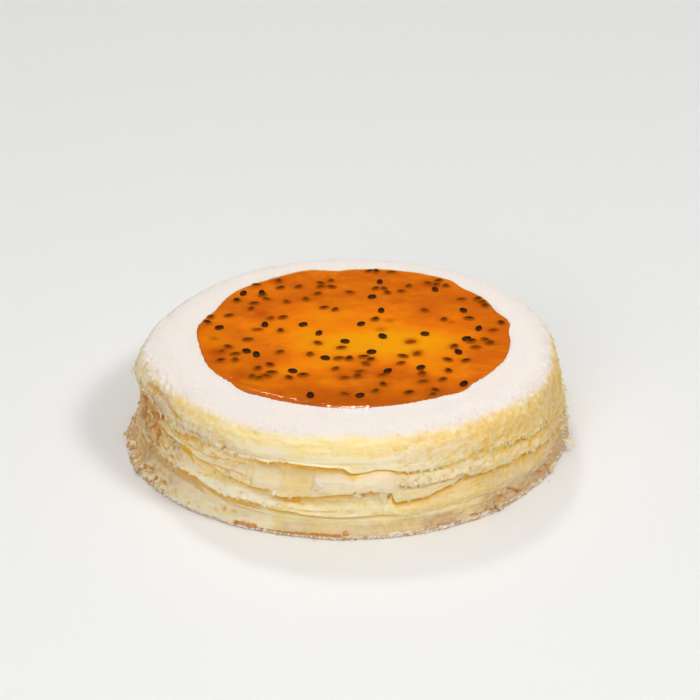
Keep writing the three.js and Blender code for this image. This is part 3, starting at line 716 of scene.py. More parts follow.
BASE_ROWS = 28
LOWER_ROWS = 14
MIDDLE_ROWS = 34
UPPER_ROWS = 40
CAP_ROWS = 20
SHOULDER_ROWS = 40
FLAT_ROWS = 10
FOOT_SUGAR = 0.7
SHOULDER_CROWDING = 0.9  # under 1 the shoulder's rings lie closer together higher up
SHOULDER_CALM = (45, 80)  # angles up the shoulder between which the torn relief gives way to sugar's grain
SUGAR_RAGGEDNESS = 4  # degrees
SUGAR_FADE = (-24, 17)  # degrees from the sugar's edge between which it thickens
OUTLINE_CALM = (0.6, 3)  # insets between which the glaze's outline gets smooth
RIM_SWELL = 3  # how far from the glaze the sugared top begins to rise to it
SUGAR_RIM = ((-2, 0.2), (-1.2, 0.42), (-0.5, 0.58), (-0.3, 0.58), (-0.24, 0.2))  # that rise, as (inset, rise)


def crumple(points):
    """Crumpled crepe: broad sharp folds with hollows between them."""
    return 0.85 * (ridges(points, (6, 6, 3.6), 12) - 0.4) + 0.5 * layered_noise(points, (3, 3, 2), 2, 13)


def flakes(points):
    """Torn crepe: loose flakes that lean over each other."""
    edges = ridges(points, (4.6, 4.6, 5), 18) - 0.35
    return 1.1 * edges + 0.55 * layered_noise(points, (2.8, 2.8, 2.4), 2, 19)


def tufts(points):
    """The woolly relief of a frayed band."""
    return 0.65 * noise(points, (2.1, 2.1, 3.8), 69) + 0.4 * noise(points, (1.3, 1.3, 1.8), 70)


def crust(points):
    """Baked, crumbly lumps."""
    return 0.8 * layered_noise(points, (2.4, 2.4, 1.8), 3, 14)


def creases(points):
    """Torn, upright creases."""
    return 0.8 * (ridges(points, (5, 5, 16), 63) - 0.3) + 0.45 * noise(points, (1.8, 1.8, 6), 64)


def pleats(points):
    """Fine upright wrinkles."""
    return 0.55 * noise(points, (2.2, 2.2, 9), 61) + 0.5 * noise(points, (4.5, 4.5, 12), 62)


def dents(points):
    """Soft dents and lumps."""
    return 0.5 * layered_noise(points, (3.6, 3.6, 2.6), 2, 65)


LEFT = (-108, -60, 8)  # the left side, as the azimuths from and to and their fade
# Where the side is rough: the kind of relief, its strength, the azimuths from and to and their fade, the edge
# that the heights are measured from, or None for the ground, and the heights from and to and their fade
RELIEFS = (
    (crumple, 1, (25, 36, 4), None, (-2, 5, 2)), (crumple, 1, (36, 52, 4), None, (-2, 7, 2.5)),
    (crumple, 1, (50, 70, 4), None, (-2, 9, 2.5)), (crumple, 0.9, (66, 92, 6), None, (-2, 6, 3)),
    (crumple, 0.5, (-68, -24, 6), None, (-2, 6, 3)), (crumple, 0.5, (104, 181, 8), None, (-2, 5, 3)),
    (crumple, 0.5, (-181, -118, 8), None, (-2, 5, 3)), (flakes, 0.7, (-66, -46, 3), None, (13, 24, 2)),
    (flakes, 0.4, (-96, -66, 4), None, (10, 28, 3)), (tufts, 0.65, (-63, -25, 4), cap_edge, (-2, 3.4, 2.4)),
    (tufts, 0.8, (-50, -19, 4), middle_edge, (-2, 2.5, 3)),
    (tufts, 0.9, (13.5, 34, 2), None, (22.6, 28.5, 1.2)), (tufts, 0.6, (30, 52, 5), None, (22, 31, 2)),
    (tufts, 0.4, (-46, -26, 4), None, (23, 30, 2)), (tufts, 0.35, (-20, 14, 4), None, (11, 18, 2)),
    (crust, 1, (-108, -54, 5), None, (-2, 3.5, 2.5)), (crust, 0.4, (-56, 60, 6), None, (-2, 0.8, 0.8)),
    (creases, 1, LEFT, None, (27, 46, 3)), (creases, 0.5, (-104, -66, 6), None, (12, 28, 3)),
    (pleats, 1, (52, 140, 12), None, (22, 46, 3)), (pleats, 0.5, (40, 96, 8), None, (12, 24, 3)),
    (dents, 0.8, (16, 62, 6), None, (24, 46, 3)), (dents, 0.6, (34, 96, 8), None, (14, 30, 3)),
)
# Tints of the side: the mask, its share, the azimuths, edge and heights as above, and the size of the patches
# that it is broken up into, or 0 where it is even. Its place in the list sets where those patches lie.
# Some of these tints are painted shade, as noted above each.
TINTS = (
    ("cream", 0.45, (-64, 30, 10), None, (22, 35, 6), 0), ("cream", 0.7, LEFT, None, (27, 46, 4), 0),
    ("cream", 0.7, (13, 19, 2), None, (33, 38, 2), 3), ("cream", 0.35, (20, 62, 6), None, (24, 40, 3), 4),
    ("cream", 0.4, (58, 66, 3), None, (38, 44, 2), 4), ("cream", 0.5, (13.5, 34, 3), None, (22, 29, 2), 0),
    ("cream", 0.35, (34, 60, 4), None, (20, 32, 3), 2.6), ("cream", 0.2, (16, 62, 6), None, (9, 15, 2), 0),
    ("cream", 0.3, (-18, 12, 4), None, (10, 21, 2), 2.5),
    ("cream", 0.25, (-30, 14, 6), None, (10, 18, 2), 0),
    ("cream", 0.9, (-50, -19, 4), middle_edge, (-1, 3.4, 2.5), 0),
    ("sugar", 0.45, (-48, -22, 4), middle_edge, (-1, 2.6, 1.5), 2.6),
    ("cream", 0.5, (-46, -20, 4), None, (1.5, 8, 1.5), 0),
    ("cream", 0.35, (-64, -42, 4), None, (12, 26, 2), 3),
    ("tan", 0.15, (-66, -44, 4), None, (13, 27, 2), 0), ("cream", 0.4, (-64, -47, 3), None, (4, 11, 2), 0),
    ("cream", 0.4, (-62, -30, 4), upper_edge, (1, 6, 1.5), 0),
    ("cream", 0.5, (24, 90, 6), None, (-1, 8, 3), 4), ("gold", 0.7, (37, 47, 3), None, (33, 38.5, 2), 0),
    ("gold", 0.9, (51, 58, 3), None, (30, 36, 2), 0), ("gold", 0.9, (56, 64, 4), None, (36, 46, 3), 4),
    ("gold", 0.3, (20, 60, 5), None, (36, 46, 3), 4), ("gold", 0.35, (26, 60, 4), None, (28, 38, 3), 4),
    ("gold", 0.4, (34, 62, 4), None, (18, 29, 3), 3), ("gold", 0.8, (64, 130, 6), None, (22, 46, 5), 4),
    ("gold", 0.5, (56, 100, 8), None, (10, 26, 3), 3), ("gold", 0.2, (-64, -44, 4), None, (14, 26, 2), 3.5),
    ("gold", 0.5, (-60, -34, 5), cap_edge, (-9, -2, 2), 6),
    ("gold", 0.4, (-34, -23.5, 2), None, (20, 30, 2), 3),
    ("gold", 0.6, (-98, -62, 4), None, (12, 32, 3), 0),
    # Painted golden shade under the upper edge at the front.
    ("gold", 0.4, (-18, 12, 4), upper_edge, (-3.5, -0.5, 1.5), 4),
    ("gold", 0.15, (-108, -56, 4), None, (-2, 12, 2), 3),
    ("crust", 0.75, (-98, -61, 3), None, (17, 30, 3), 7),
    ("crust", 0.55, (-108, -64, 4), None, (3, 14, 2), 4),
    ("crust", 1.0, (-108, -52, 3), None, (-2, 4.6, 1.5), 2.4),
    ("crust", 0.4, (-62, -46, 3), None, (14, 24, 2), 3),
    ("crust", 0.35, (-66, -26, 4), cap_edge, (-1, 1.2, 0.8), 3.5),
    ("crust", 0.2, (28, 92, 5), None, (-1, 5, 2), 5),
    ("crust", 0.7, (98, 181, 6), None, (0.8, 2.6, 0.8), 9),
    ("crust", 0.7, (-181, -112, 6), None, (0.8, 2.6, 0.8), 9),
    ("sugar", 0.55, (-104, -50, 3), None, (-1, 5, 1.5), 1.8),
    ("sugar", 0.8, (-181, 181, 0.1), None, (-1, 1.3, 0.6), 2),
    ("sugar", 0.5, (-4, 76, 6), None, (0.5, 2.2, 0.8), 2),
    # Painted shade, in tan, in the recess under the middle edge on the left.
    ("tan", 0.9, (-54, -41, 4), middle_edge, (-6.5, -0.4, 0.4), 0),
    ("tan", 0.9, (-42, -23, 4), middle_edge, (-3.6, -0.4, 0.4), 0),
    ("tan", 0.3, (-66, -47, 3), None, (3.5, 12, 2), 0), ("tan", 0.5, (-108, -64, 5), None, (3, 14, 2), 0),
    ("tan", 0.15, (-63, -27, 4), cap_edge, (-1, 3.4, 2), 0),
    ("cream", 0.6, (-63, -27, 4), cap_edge, (-1, 3, 2), 0),
    ("tan", 0.5, (-98, -64, 4), None, (12, 30, 3), 0), ("tan", 0.25, LEFT, None, (30, 44, 3), 0),
    ("tan", 0.5, (-14, 26, 5), None, (1.5, 6, 1.5), 0), ("cream", 0.35, (-14, 26, 5), None, (2, 9, 1.5), 0),
    ("tan", 0.3, (38, 80, 6), None, (7, 16, 4), 0), ("cream", 0.7, (-48, -20, 4), None, (4, 8, 1.5), 3),
    ("tan", 0.4, (-72, -50, 4), None, (2, 7.5, 1.5), 3),
    ("sugar", 0.7, (-52, -20, 4), None, (-1, 1.4, 0.8), 2),
    ("gold", 0.2, (-64, -28, 5), None, (19, 31, 2), 0),
    # Painted golden shade just under the cap and upper edges on the right.
    ("gold", 0.7, (44, 72, 4), cap_edge, (-2, 0.1, 0.5), 0),
    ("gold", 0.9, (12, 72, 5), upper_edge, (-1.8, 0, 0.5), 0),
    ("sugar", 0.4, (12, 72, 5), upper_edge, (0.1, 1.4, 0.4), 1.8),
    ("sugar", 0.35, (44, 72, 5), cap_edge, (0.1, 1.4, 0.4), 1.8),
    ("cream", -0.15, (24, 112, 8), None, (18, 46, 4), 0),
    ("gold", 0.28, (16, 112, 8), None, (12, 46, 4), 0),
    # Painted shade just under the upper and cap edges on the right, and less of it low on the right.
    ("groove", 0.55, (12, 72, 4), upper_edge, (-1.2, 0.4, 0.2), 0),
    ("groove", 0.5, (14, 72, 4), cap_edge, (-1, 0.4, 0.2), 0),
    ("groove", -0.4, (24, 92, 6), None, (-2, 8, 2), 0), ("tan", 0.12, (16, 80, 6), None, (8, 36, 4), 0),
    ("gold", 0.15, (-46, -22, 4), None, (1, 7, 2), 0), ("cream", 0.35, (-47, -20, 4), None, (1, 8, 2), 0),
    ("gold", 0.45, (34, 70, 5), None, (39, 48, 3), 3), ("gold", 0.45, (8, 40, 5), None, (5, 11, 2), 0),
    ("tan", 0.18, (-66, -32, 5), cap_edge, (0, 9, 3), 0),
    ("crust", 0.95, (-74, -57.5, 2.5), None, (19, 33, 3), 4),
    ("tan", 0.4, (-74, -57, 3), None, (18, 34, 3), 0), ("tan", 0.14, (-20, 12, 5), None, (20, 31, 2), 0),
    ("tan", 0.6, (21, 92, 4), None, (-1, 5, 2.5), 0), ("cream", 0.6, (21, 92, 4), None, (0, 9, 2.5), 2.2),
    # The second of these darkens the foot all round, as painted shade.
    ("tan", 0.4, (38, 92, 5), None, (3, 9, 2), 0), ("tan", 0.7, (-181, 181, 0.1), None, (-1, 1.1, 0.5), 0),
    ("tan", 0.25, (66, 110, 6), None, (8, 36, 4), 0), ("tan", 0.2, (32, 70, 6), None, (18, 40, 4), 3),
    ("sugar", -0.6, (-28, -1, 1), None, (1.3, 3, 0.3), 0),
    # Painted shade, in tan, in the recess under the middle edge on the left.
    ("tan", 0.5, (-62, -40, 3), middle_edge, (-7, -0.4, 0.4), 0),
)
# Cracks, creases and browned lines: the width, the depth, a mask and its share, and the (azimuth, height) of
# the line's corners
SCORES = (
    (0.55, 0.8, "crust", 0.8, ((31.8, 3.2), (36, 1.2))),
    (0.45, 0.6, "crust", 0.9, ((36.5, 3.2), (37, 1.6), (40, 1.7))),
    (0.5, 0.5, "crust", 0.9, ((23, 2.6), (23.8, 1.8))), (0.4, 0.4, "crust", 0.7, ((25.6, 1.7), (28, 1.2))),
    (0.45, 0.5, "crust", 0.5, ((43.6, 8.8), (48, 3.2))), (0.5, 0.7, "crust", 0.5, ((48, 3.2), (53, 3.6))),
    (0.7, 0.8, "crust", 0.8, ((56.5, 6.2), (59, 4.2))), (0.6, 0.8, "crust", 0.7, ((61, 6.4), (62.6, 2))),
    (0.5, 0.6, "crust", 0.5, ((41, 6.4), (42.6, 4.2))),
    (0.6, -0.8, "cream", 0.5, ((40.6, 7.4), (43.4, 10), (48.6, 4.6))),
    (0.5, 0.1, "crust", 1.0, ((-21, 1.2), (-12, 1.8), (-8, 2))),
    (0.5, 0.3, "crust", 1.4, ((-8, 2), (-1, 2.1))),
    (1.2, 0.1, "crust", 1.6, ((-27, 1.5), (-25, 1.8), (-22.4, 1.7))),
    (0.3, 0.2, "crust", 0.4, ((3, 1.6), (12, 1.2))), (0.6, 0.5, "crust", 0.9, ((-62, 4), (-57.5, 6))),
    (0.5, 0.8, "crust", 0.8, ((-50, 23.4), (-48.8, 22.4))),
    (0.5, 0.7, "crust", 0.7, ((-51, 19.4), (-49, 18.2))),
    (0.6, 0.6, "crust", 0.5, ((-62, 16.4), (-57, 17.6))),
    (0.5, 0.5, "crust", 0.7, ((-36.4, 32.2), (-34.6, 32))),
    (0.5, 0.5, "crust", 0.6, ((-32, 33), (-31, 34))),
    (1.3, 0.3, "crust", 0.55, ((-68, 38.6), (-60, 38.8), (-54, 37.4), (-49.5, 35.4))),
    # The next lines paint shade along folds and creases.
    (0.35, 0.3, "groove", 0.25, ((-23.6, 18.6), (-23.2, 24))),
    (0.5, 0.1, "groove", 0.2, ((-17, 30), (-15, 27), (-16, 21))),
    (0.3, 0.2, "groove", 0.08, ((-7.4, 31), (-8, 22))),
    (0.3, 0.2, "groove", 0.12, ((-7, 22.2), (-5.6, 24), (-3.6, 25.6))),
    (0.4, 0.2, "groove", 0.3, ((-16, 13.4), (-9, 12.4), (-2, 12.8))),
    (0.4, 0.2, "groove", 0.3, ((-15, 15.4), (-10, 15))),
    (0.5, 0.3, "groove", 0.5, ((-31, 22.2), (-29.6, 20.4))),
    (0.5, 0.5, "groove", 0.35, ((-57, 22), (-52, 19.4), (-46, 18))),
    (0.5, 0.4, "groove", 0.3, ((-47, 24.6), (-43, 23.6), (-41, 21.4))),
    (0.4, 0.3, "groove", 0.4, ((60, 24), (66, 21.4))),
)
MM_PER_DEGREE = 1.7  # along the side

CREAM_LEVEL = 0.26  # how creamy the side is everywhere
CREAM_DRIFT = 0.28  # and how much that varies
CREST = (0.05, 0.6)  # heights of relief between which it turns into a crest
CREST_CREAM = 0.62
HOLLOW = (0.08, 0.7)  # depths of relief between which it turns into a hollow
# How much painted shade the deepest hollows get.
HOLLOW_SHADE = 0.75
PATCH_EDGE = (-0.15, 0.35)  # noise between which a broken tint's patch starts
SCORE_TINT_WIDTH = 1.1  # how much wider a score's tint is than the score
SCORE_WAVER = 0.25


def side_area(azimuth, height, span, edge, rise):
    """1 inside a span of azimuths and a rise of heights, fading to 0 outside them."""
    across = between(azimuth, *span)
    if not across.any():
        return across
    return across * between(height - (edge.height(azimuth) if edge else 0), *rise)


def torn_relief(azimuth, height, points):
    """All the rough relief of the side, with the cracks and creases cut in it."""
    total, scored = 0 * azimuth, 0 * azimuth
    strengths = {}
    for kind, strength, span, edge, rise in RELIEFS:
        area = strength * side_area(azimuth, height, span, edge, rise)
        strengths[kind] = np.maximum(strengths.get(kind, 0), area)
    for kind, strength in strengths.items():
        if strength.any():
            total = total + strength * kind(points)
    for width, depth, _, _, path in SCORES:
        scored = scored + depth * score_share(azimuth, height, width, path)
    return total - scored


def score_share(azimuth, height, width, path):
    """How near each point lies to a line through the corners of a path: 1 on it, 0 well away."""
    place = np.stack(np.broadcast_arrays(azimuth * MM_PER_DEGREE, height), -1)
    corners = np.array(path) * (MM_PER_DEGREE, 1)
    nearest = np.full(place.shape[:-1], np.inf)
    for start, end in zip(corners[:-1], corners[1:]):
        along = end - start
        share = np.clip((place - start) @ along / (along @ along), 0, 1)
        nearest = np.minimum(nearest, np.linalg.norm(place - start - share[..., None] * along, axis=-1))
    return np.exp(-((nearest / width) ** 2))


def side_masks(azimuth, height, points, fine, extra):
    """The side's masks: its tints, pale crests, painted shade in hollows and what a face adds of its own."""
    soft = layered_noise(points, (8, 8, 3), 2, 32)
    masks = {mask: extra.get(mask, 0) + 0 * azimuth for mask in MASKS}
    masks["cream"] = masks["cream"] + CREAM_LEVEL + CREAM_DRIFT * soft
    masks["cream"] = masks["cream"] + CREST_CREAM * smooth_step(fine, *CREST)
    masks["groove"] = masks["groove"] + HOLLOW_SHADE * smooth_step(-fine, *HOLLOW)
    for index, (mask, share, span, edge, rise, patches) in enumerate(TINTS):
        area = share * side_area(azimuth, height, span, edge, rise)
        if patches and area.any():
            broken = noise(points, (patches, patches, 0.75 * patches), 100 + index)
            area = area * smooth_step(broken, *PATCH_EDGE)
        masks[mask] = masks[mask] + area
    ragged = height + SCORE_WAVER * noise(points, 1.6, 24)
    for width, _, mask, share, path in SCORES:
        masks[mask] = masks[mask] + share * score_share(azimuth, ragged, SCORE_TINT_WIDTH * width, path)
    return masks


def base_layer():
    layer = Layer("crepe_base_skin")
    azimuth = RING_AZIMUTHS
    path = points_at(azimuth, FOOT_PATH_RADIUS, 0.0)
    fray = around(FOOT_FRAY, azimuth) * (0.45 * noise(path, 2.6, 16) + 0.3 * noise(path, 1.2, 17))
    foot_radius = around(FOOT_RADIUS, azimuth) + RAGGED_REACH * unevenness(azimuth, FOOT_PHASE) + fray
    layer.add(foot_radius - LIP_ROUND, 0.0, sugar=FOOT_SUGAR)
    foot, head = (foot_radius, 0 * azimuth), neck_of(lower_edge, azimuth)
    add_face(layer, "base", BASE_ROWS, foot, head, BASE_SWELL, (None, lower_edge))
    add_top(layer, lower_edge)
    return layer.build((0, 0, 0), (0, 0, lower_edge.core_height - GAP))


def middle_layers(name, rows, swell, edges, forms=None):
    """A layer that lies between two edges."""
    layer = Layer(f"crepe_{name}_skin")
    below, above = edges
    add_underside(layer, below)
    foot, head = lip_of(below, RING_AZIMUTHS), neck_of(above, RING_AZIMUTHS)
    add_face(layer, name, rows, foot, head, swell, edges, forms)
    add_top(layer, above)
    return layer.build((0, 0, below.core_height), (0, 0, above.core_height - GAP))


FOLD_AZIMUTH = -23.2  # the upright fold in the upper layer
FLAP = {"start": -7.6, "middle": 26.5}  # the folded flap beside the roll
ROLL = {"start": -1.5, "end": 12.6, "middle": 25.3, "half": 4.9}  # the smooth roll at the front


def fold_place(height):
    """The azimuth of the upright fold, which leans with height."""
    return FOLD_AZIMUTH + 0.10 * (height - 24)


def roll_share(azimuth, height):
    """1 on the crown of the roll at the front, 0 off it."""
    up = np.clip(1 - ((height - ROLL["middle"] - 0.10 * azimuth) / ROLL["half"]) ** 2, 0, 1)
    return between(azimuth, ROLL["start"] + 3, ROLL["end"] - 2, 3) * np.sqrt(up)


def leaf_edge(height):
    """The azimuth of the curved right edge of the leaf beside the upright fold."""
    return -14.5 - 0.08 * (height - 25) ** 2


def upper_forms(azimuth, height):
    """The upper layer's own shapes and tints: the upright fold, the leaf beside it, the flap and the roll."""
    fold = fold_place(height)
    behind_fold = (1 - smooth_step(azimuth, fold - 0.6, fold + 0.6)) * between(azimuth, -34, 0, 4)
    crown = 0.4 * hump(azimuth, fold + 1.4, 1.4)
    right = leaf_edge(height)
    leaf = smooth_step(azimuth, fold, fold + 1) * (1 - smooth_step(azimuth, right - 2, right + 0.5))
    edge = FLAP["start"] + 0.12 * (height - FLAP["middle"])
    flap = smooth_step(azimuth, edge - 0.3, edge + 0.5) * (1 - smooth_step(azimuth, -1.5, 2.5))
    facet = flap * (0.8 - 0.1 * (azimuth - edge)) * smooth_step(height, 19.5, 23)
    roll = roll_share(azimuth, height)
    form = -0.6 * behind_fold + crown + 0.25 * leaf + facet + 1.7 * roll
    yellower = between(azimuth, -14.5, -9, 2.5)
    crown_pale = np.maximum(0.3 * roll, 0.35 * flap * smooth_step(height, 20, 24))
    pale = 0.08 * leaf * smooth_step(height, 19, 23) + crown_pale
    return form, {"cream": 0.05 + pale - 0.2 * yellower, "gold": 0.15 * yellower}


def shoulder_foot(azimuth):
    """The radius and the height at which the rounded shoulder starts."""
    height = np.maximum(CAKE_TOP - SHOULDER_DROP, around(cap_edge.heights, azimuth) + SHOULDER_CLEARANCE)
    return around(CAP_RADIUS, azimuth), height


def sugar_amount(azimuth, angle, points):
    """How thickly sugar lies at an angle up the shoulder."""
    ragged = SUGAR_RAGGEDNESS * layered_noise(points, (7, 7, 7), 3, 71)
    return smooth_step(angle - around(SUGAR_EDGE, azimuth) + ragged, *SUGAR_FADE)


def glaze_radius(azimuth, inset, grain=1.0):
    """The radius of the glaze's outline about its own centre, drawn in by an inset, with grain along it."""
    path = points_at(azimuth, GLAZE_RADIUS, 0.0)
    grains = 0.2 * noise(path, 0.8, 78) + 0.28 * noise(path, 1.5, 74)
    uneven = grain * grains + 0.22 * noise(path, 3.4, 75) - 0.05
    uneven = uneven * (1 - smooth_step(inset, *OUTLINE_CALM))
    return GLAZE_RADIUS + around(GLAZE_WANDER, azimuth) + uneven - inset


def glaze_ring(inset, height, grain=1.0):
    """A ring of points along the glaze's outline, drawn in by an inset."""
    return points_at(RING_AZIMUTHS, glaze_radius(RING_AZIMUTHS, inset, grain), height, GLAZE_CENTRE_X)


def cap_layer():
    """The top crepe: its side, the round shoulder, the sugared flat top and the dish that holds the glaze."""
    layer = Layer("crepe_cap_skin")
    azimuth = RING_AZIMUTHS
    add_underside(layer, cap_edge)
    foot_radius, foot_height = shoulder_foot(azimuth)
    add_face(layer, "cap", CAP_ROWS, lip_of(cap_edge, azimuth), (foot_radius, foot_height), NO_SWELL,
             (cap_edge, None))
    for row in range(SHOULDER_ROWS):
        share = row / (SHOULDER_ROWS - 1)
        angle = 90 * share**SHOULDER_CROWDING
        turn = math.radians(angle)
        reach = foot_radius - SHOULDER_WIDTH * (1 - math.cos(turn))
        height = foot_height + (CAKE_TOP - foot_height) * math.sin(turn)
        points = points_at(azimuth, reach, height)
        torn = 1 - smooth_step(angle, *SHOULDER_CALM)
        relief = (torn_relief(azimuth, height, points) + face_relief(azimuth, height, points)) * torn
        grain = 0.10 * noise(points, 1.4, 72) + 0.12 * noise(points, 4.0, 73)
        away = relief + grain * (1 - torn)
        sugar = sugar_amount(azimuth, angle, points)
        masks = side_masks(azimuth, height, points, relief, {"sugar": sugar})
        layer.add(reach + away * math.cos(turn), height + away * math.sin(turn), **masks)
    brim = glaze_ring(-RIM_SWELL, CAKE_TOP)
    flat_start = layer.rings[-1]
    for row in range(1, FLAT_ROWS):
        share = row / (FLAT_ROWS - 1)
        ring = flat_start + (brim - flat_start) * share
        ring[:, 2] = CAKE_TOP + (0.12 * noise(ring, 1.4, 72) + 0.15 * noise(ring, 5.0, 73)) * (1 - share)
        layer.add_ring(ring, sugar=1)
    path = points_at(azimuth, GLAZE_RADIUS, 0.0)
    crumbled = 0.2 * noise(path, 1.1, 76) + 0.12 * noise(path, 2.6, 77)
    for inset, rise in SUGAR_RIM:
        layer.add_ring(glaze_ring(inset, CAKE_TOP + rise + crumbled), sugar=1)
    layer.add_ring(glaze_ring(DISH_INSET, DISH_FLOOR), gold=1)
    return layer.build((0, 0, cap_edge.core_height), (GLAZE_CENTRE_X, 0, DISH_FLOOR))


# ---------------------------------------------------------------- torn shreds, crumbs and sugar grains

SHRED_STATIONS = 6
SHRED_SIDES = 6
SHRED_TRIES = 3600  # places along the edges that may get a shred
SHRED_CHANCE = 0.6  # of each of those, where the edge is fully frayed
FACE_SHRED_TRIES = 420
FACE_SHRED_CHANCE = 0.7
LEDGE_SHRED_COUNT = 60
BRISTLE_COUNT = 150
BRISTLE_THICKNESS = 0.2
BRISTLE_MASKS = {"cream": 0.9}
# These two flakes are painted white with the sugar mask, as painted glints.
GLINT_WHITE_FLAKES = (-17.6, -5.4)  # azimuths of the flakes whose tips are white
LOW_FLAKE = 4  # a flake whose root is under this height is as browned as the foot
FLAKE_THICKNESS = 0.5
FLAKE_TAPER = (1, 0.8, 0.3)
BROWNED_SIDE = (-100, -44)  # azimuths between which more of the shreds are browned
BROWNED_CHANCE = 0.15  # of a shred there
STRAY_CHANCE = 0.04  # of a shred elsewhere
TORN_PATCH = (-68, -46)  # azimuths of the woolliest part of the upper layer's face, on the left
BRISTLY_SIDE = (72, 96)  # azimuths of the bristles low on the right
BROWN_LUMP = {"azimuth": 0.2, "size": 2.6, "place": (98.5, 3.0)}  # a browned curl at the front, low down
LEFT_CRUMB_COUNT = 800
FOOT_CRUMB_COUNT = 5200
GROUND_CRUMB_COUNT = 150
DUSTING_EDGE_COUNT = 3600
GLAZE_RIM_COUNT = 2200
FLAT_TOP_COUNT = 500
FLAT_TOP_RADII = (74.5, 81.5)  # between these the flat top gets its scattered sugar
TOP_ANGLE = 88  # the highest up the shoulder that the dusting's grains lie, in degrees
GRAIN_SINK = 0.05  # how deep they sink in
# A lump of unit radius, whose points are then moved about: the corners and faces of a twenty-sided solid
GRAIN = np.array([
    (0, 0, -1), (0.72, -0.53, -0.45), (-0.28, -0.85, -0.45), (-0.89, 0, -0.45), (-0.28, 0.85, -0.45),
    (0.72, 0.53, -0.45), (0.28, -0.85, 0.45), (-0.72, -0.53, 0.45), (-0.72, 0.53, 0.45), (0.28, 0.85, 0.45),
    (0.89, 0, 0.45), (0, 0, 1),
])
GRAIN_FACES = np.array([
    (0, 1, 2), (1, 0, 5), (0, 2, 3), (0, 3, 4), (0, 4, 5), (1, 5, 10), (2, 1, 6), (3, 2, 7), (4, 3, 8),
    (5, 4, 9), (1, 10, 6), (2, 6, 7), (3, 7, 8), (4, 8, 9), (5, 9, 10), (6, 10, 11), (7, 6, 11), (8, 7, 11),
    (9, 8, 11), (10, 9, 11),
])


class Heap:
    """Many small closed pieces gathered into one mesh."""

    def __init__(self):
        self.points, self.quads, self.triangles = [], [], []
        self.masks = {mask: [] for mask in MASKS}
        self.count = 0

    def add(self, points, quads, triangles, masks):
        self.points.append(points)
        if len(quads):
            self.quads.append(np.asarray(quads) + self.count)
        if len(triangles):
            self.triangles.append(np.asarray(triangles) + self.count)
        for mask in MASKS:
            self.masks[mask].append(np.full(len(points), masks.get(mask, 0.0)))
        self.count += len(points)

    def build(self, name, smooth):
        faces = [np.concatenate(group) for group in (self.quads, self.triangles) if group]
        masks = {mask: np.concatenate(values) for mask, values in self.masks.items()}
        return new_object(name, np.concatenate(self.points), faces, masks, smooth)


SHRED_QUADS, SHRED_FANS = ring_faces(SHRED_STATIONS, SHRED_SIDES)


def add_shred(heap, draw, spine, across, width, thickness, taper, masks):
    """A thin torn shred along a spine of points. across is its width's direction."""
    along = np.gradient(spine, axis=0)
    along /= np.linalg.norm(along, axis=1, keepdims=True)
    across = across - along * (along @ across)[:, None]
    across /= np.linalg.norm(across, axis=1, keepdims=True)
    normal = np.cross(along, across)
    angle = np.arange(SHRED_SIDES) * 2 * np.pi / SHRED_SIDES
    share = np.linspace(0, 1, SHRED_STATIONS)
    half = width / 2 * np.interp(share, (0, 0.5, 1), taper) * draw.uniform(0.75, 1.25, SHRED_STATIONS)
    sway = draw.normal(0, 0.12 * width, SHRED_STATIONS)
    rings = [spine[i] + np.outer(half[i] * np.cos(angle) + sway[i], across[i])
             + np.outer(thickness / 2 * np.sin(angle), normal[i]) for i in range(SHRED_STATIONS)]
    points = np.concatenate([*rings, [spine[0] - 0.05 * along[0]], [spine[-1] + 0.15 * width * along[-1]]])
    heap.add(points, SHRED_QUADS, SHRED_FANS, masks)


def add_flake(heap, draw, azimuth, width, profile, masks):
    """One of the large torn flakes, bent through its root, bend and tip."""
    root, bend, tip = (np.array(place, float) for place in profile)
    share = np.linspace(0, 1, SHRED_STATIONS)[:, None]
    control = 2 * bend - (root + tip) / 2
    curve = (1 - share) ** 2 * root + 2 * share * (1 - share) * control + share**2 * tip
    spine = points_at(azimuth + 0.25 * draw.normal(size=SHRED_STATIONS), curve[:, 0], curve[:, 1])
    turn = math.radians(azimuth)
    tangent = np.array([math.cos(turn), math.sin(turn), 0.15 * draw.normal()])
    add_shred(heap, draw, spine, tangent, width, FLAKE_THICKNESS, FLAKE_TAPER, masks)


def shred_masks(draw, azimuth):
    chance = BROWNED_CHANCE if BROWNED_SIDE[0] < azimuth < BROWNED_SIDE[1] else STRAY_CHANCE
    crust = draw.uniform(0, 0.6) if draw.random() < chance else 0.0
    # Shreds get a little painted shade, so that their shaded sides read golden.
    return {"cream": draw.uniform(0.3, 0.8), "crust": crust, "groove": draw.uniform(0.0, 0.15), "tan": 0.1}


def hanging_shred(heap, draw, azimuth, root, length, width, thickness, spread):
    """A shred from root (a radius and a height), hanging down and leaning aside by up to spread radians."""
    lean = draw.uniform(-spread, spread)
    curl = draw.uniform(0.02, 0.45) * length
    share = np.linspace(0, 1, SHRED_STATIONS)
    radius = root[0] + curl * share + 0.15 * np.sin(np.pi * share)
    height = root[1] - length * math.cos(lean) * share
    aside = length * math.sin(lean) * share / root[0]
    spine = points_at(azimuth + np.degrees(aside), radius, height)
    turn = math.radians(azimuth)
    tangent = np.array([math.cos(turn), math.sin(turn), draw.normal(0, 0.4)])
    taper = (draw.uniform(0.7, 1.1), 1, draw.uniform(0.25, 0.8))
    add_shred(heap, draw, spine, tangent, width, thickness, taper, shred_masks(draw, azimuth))


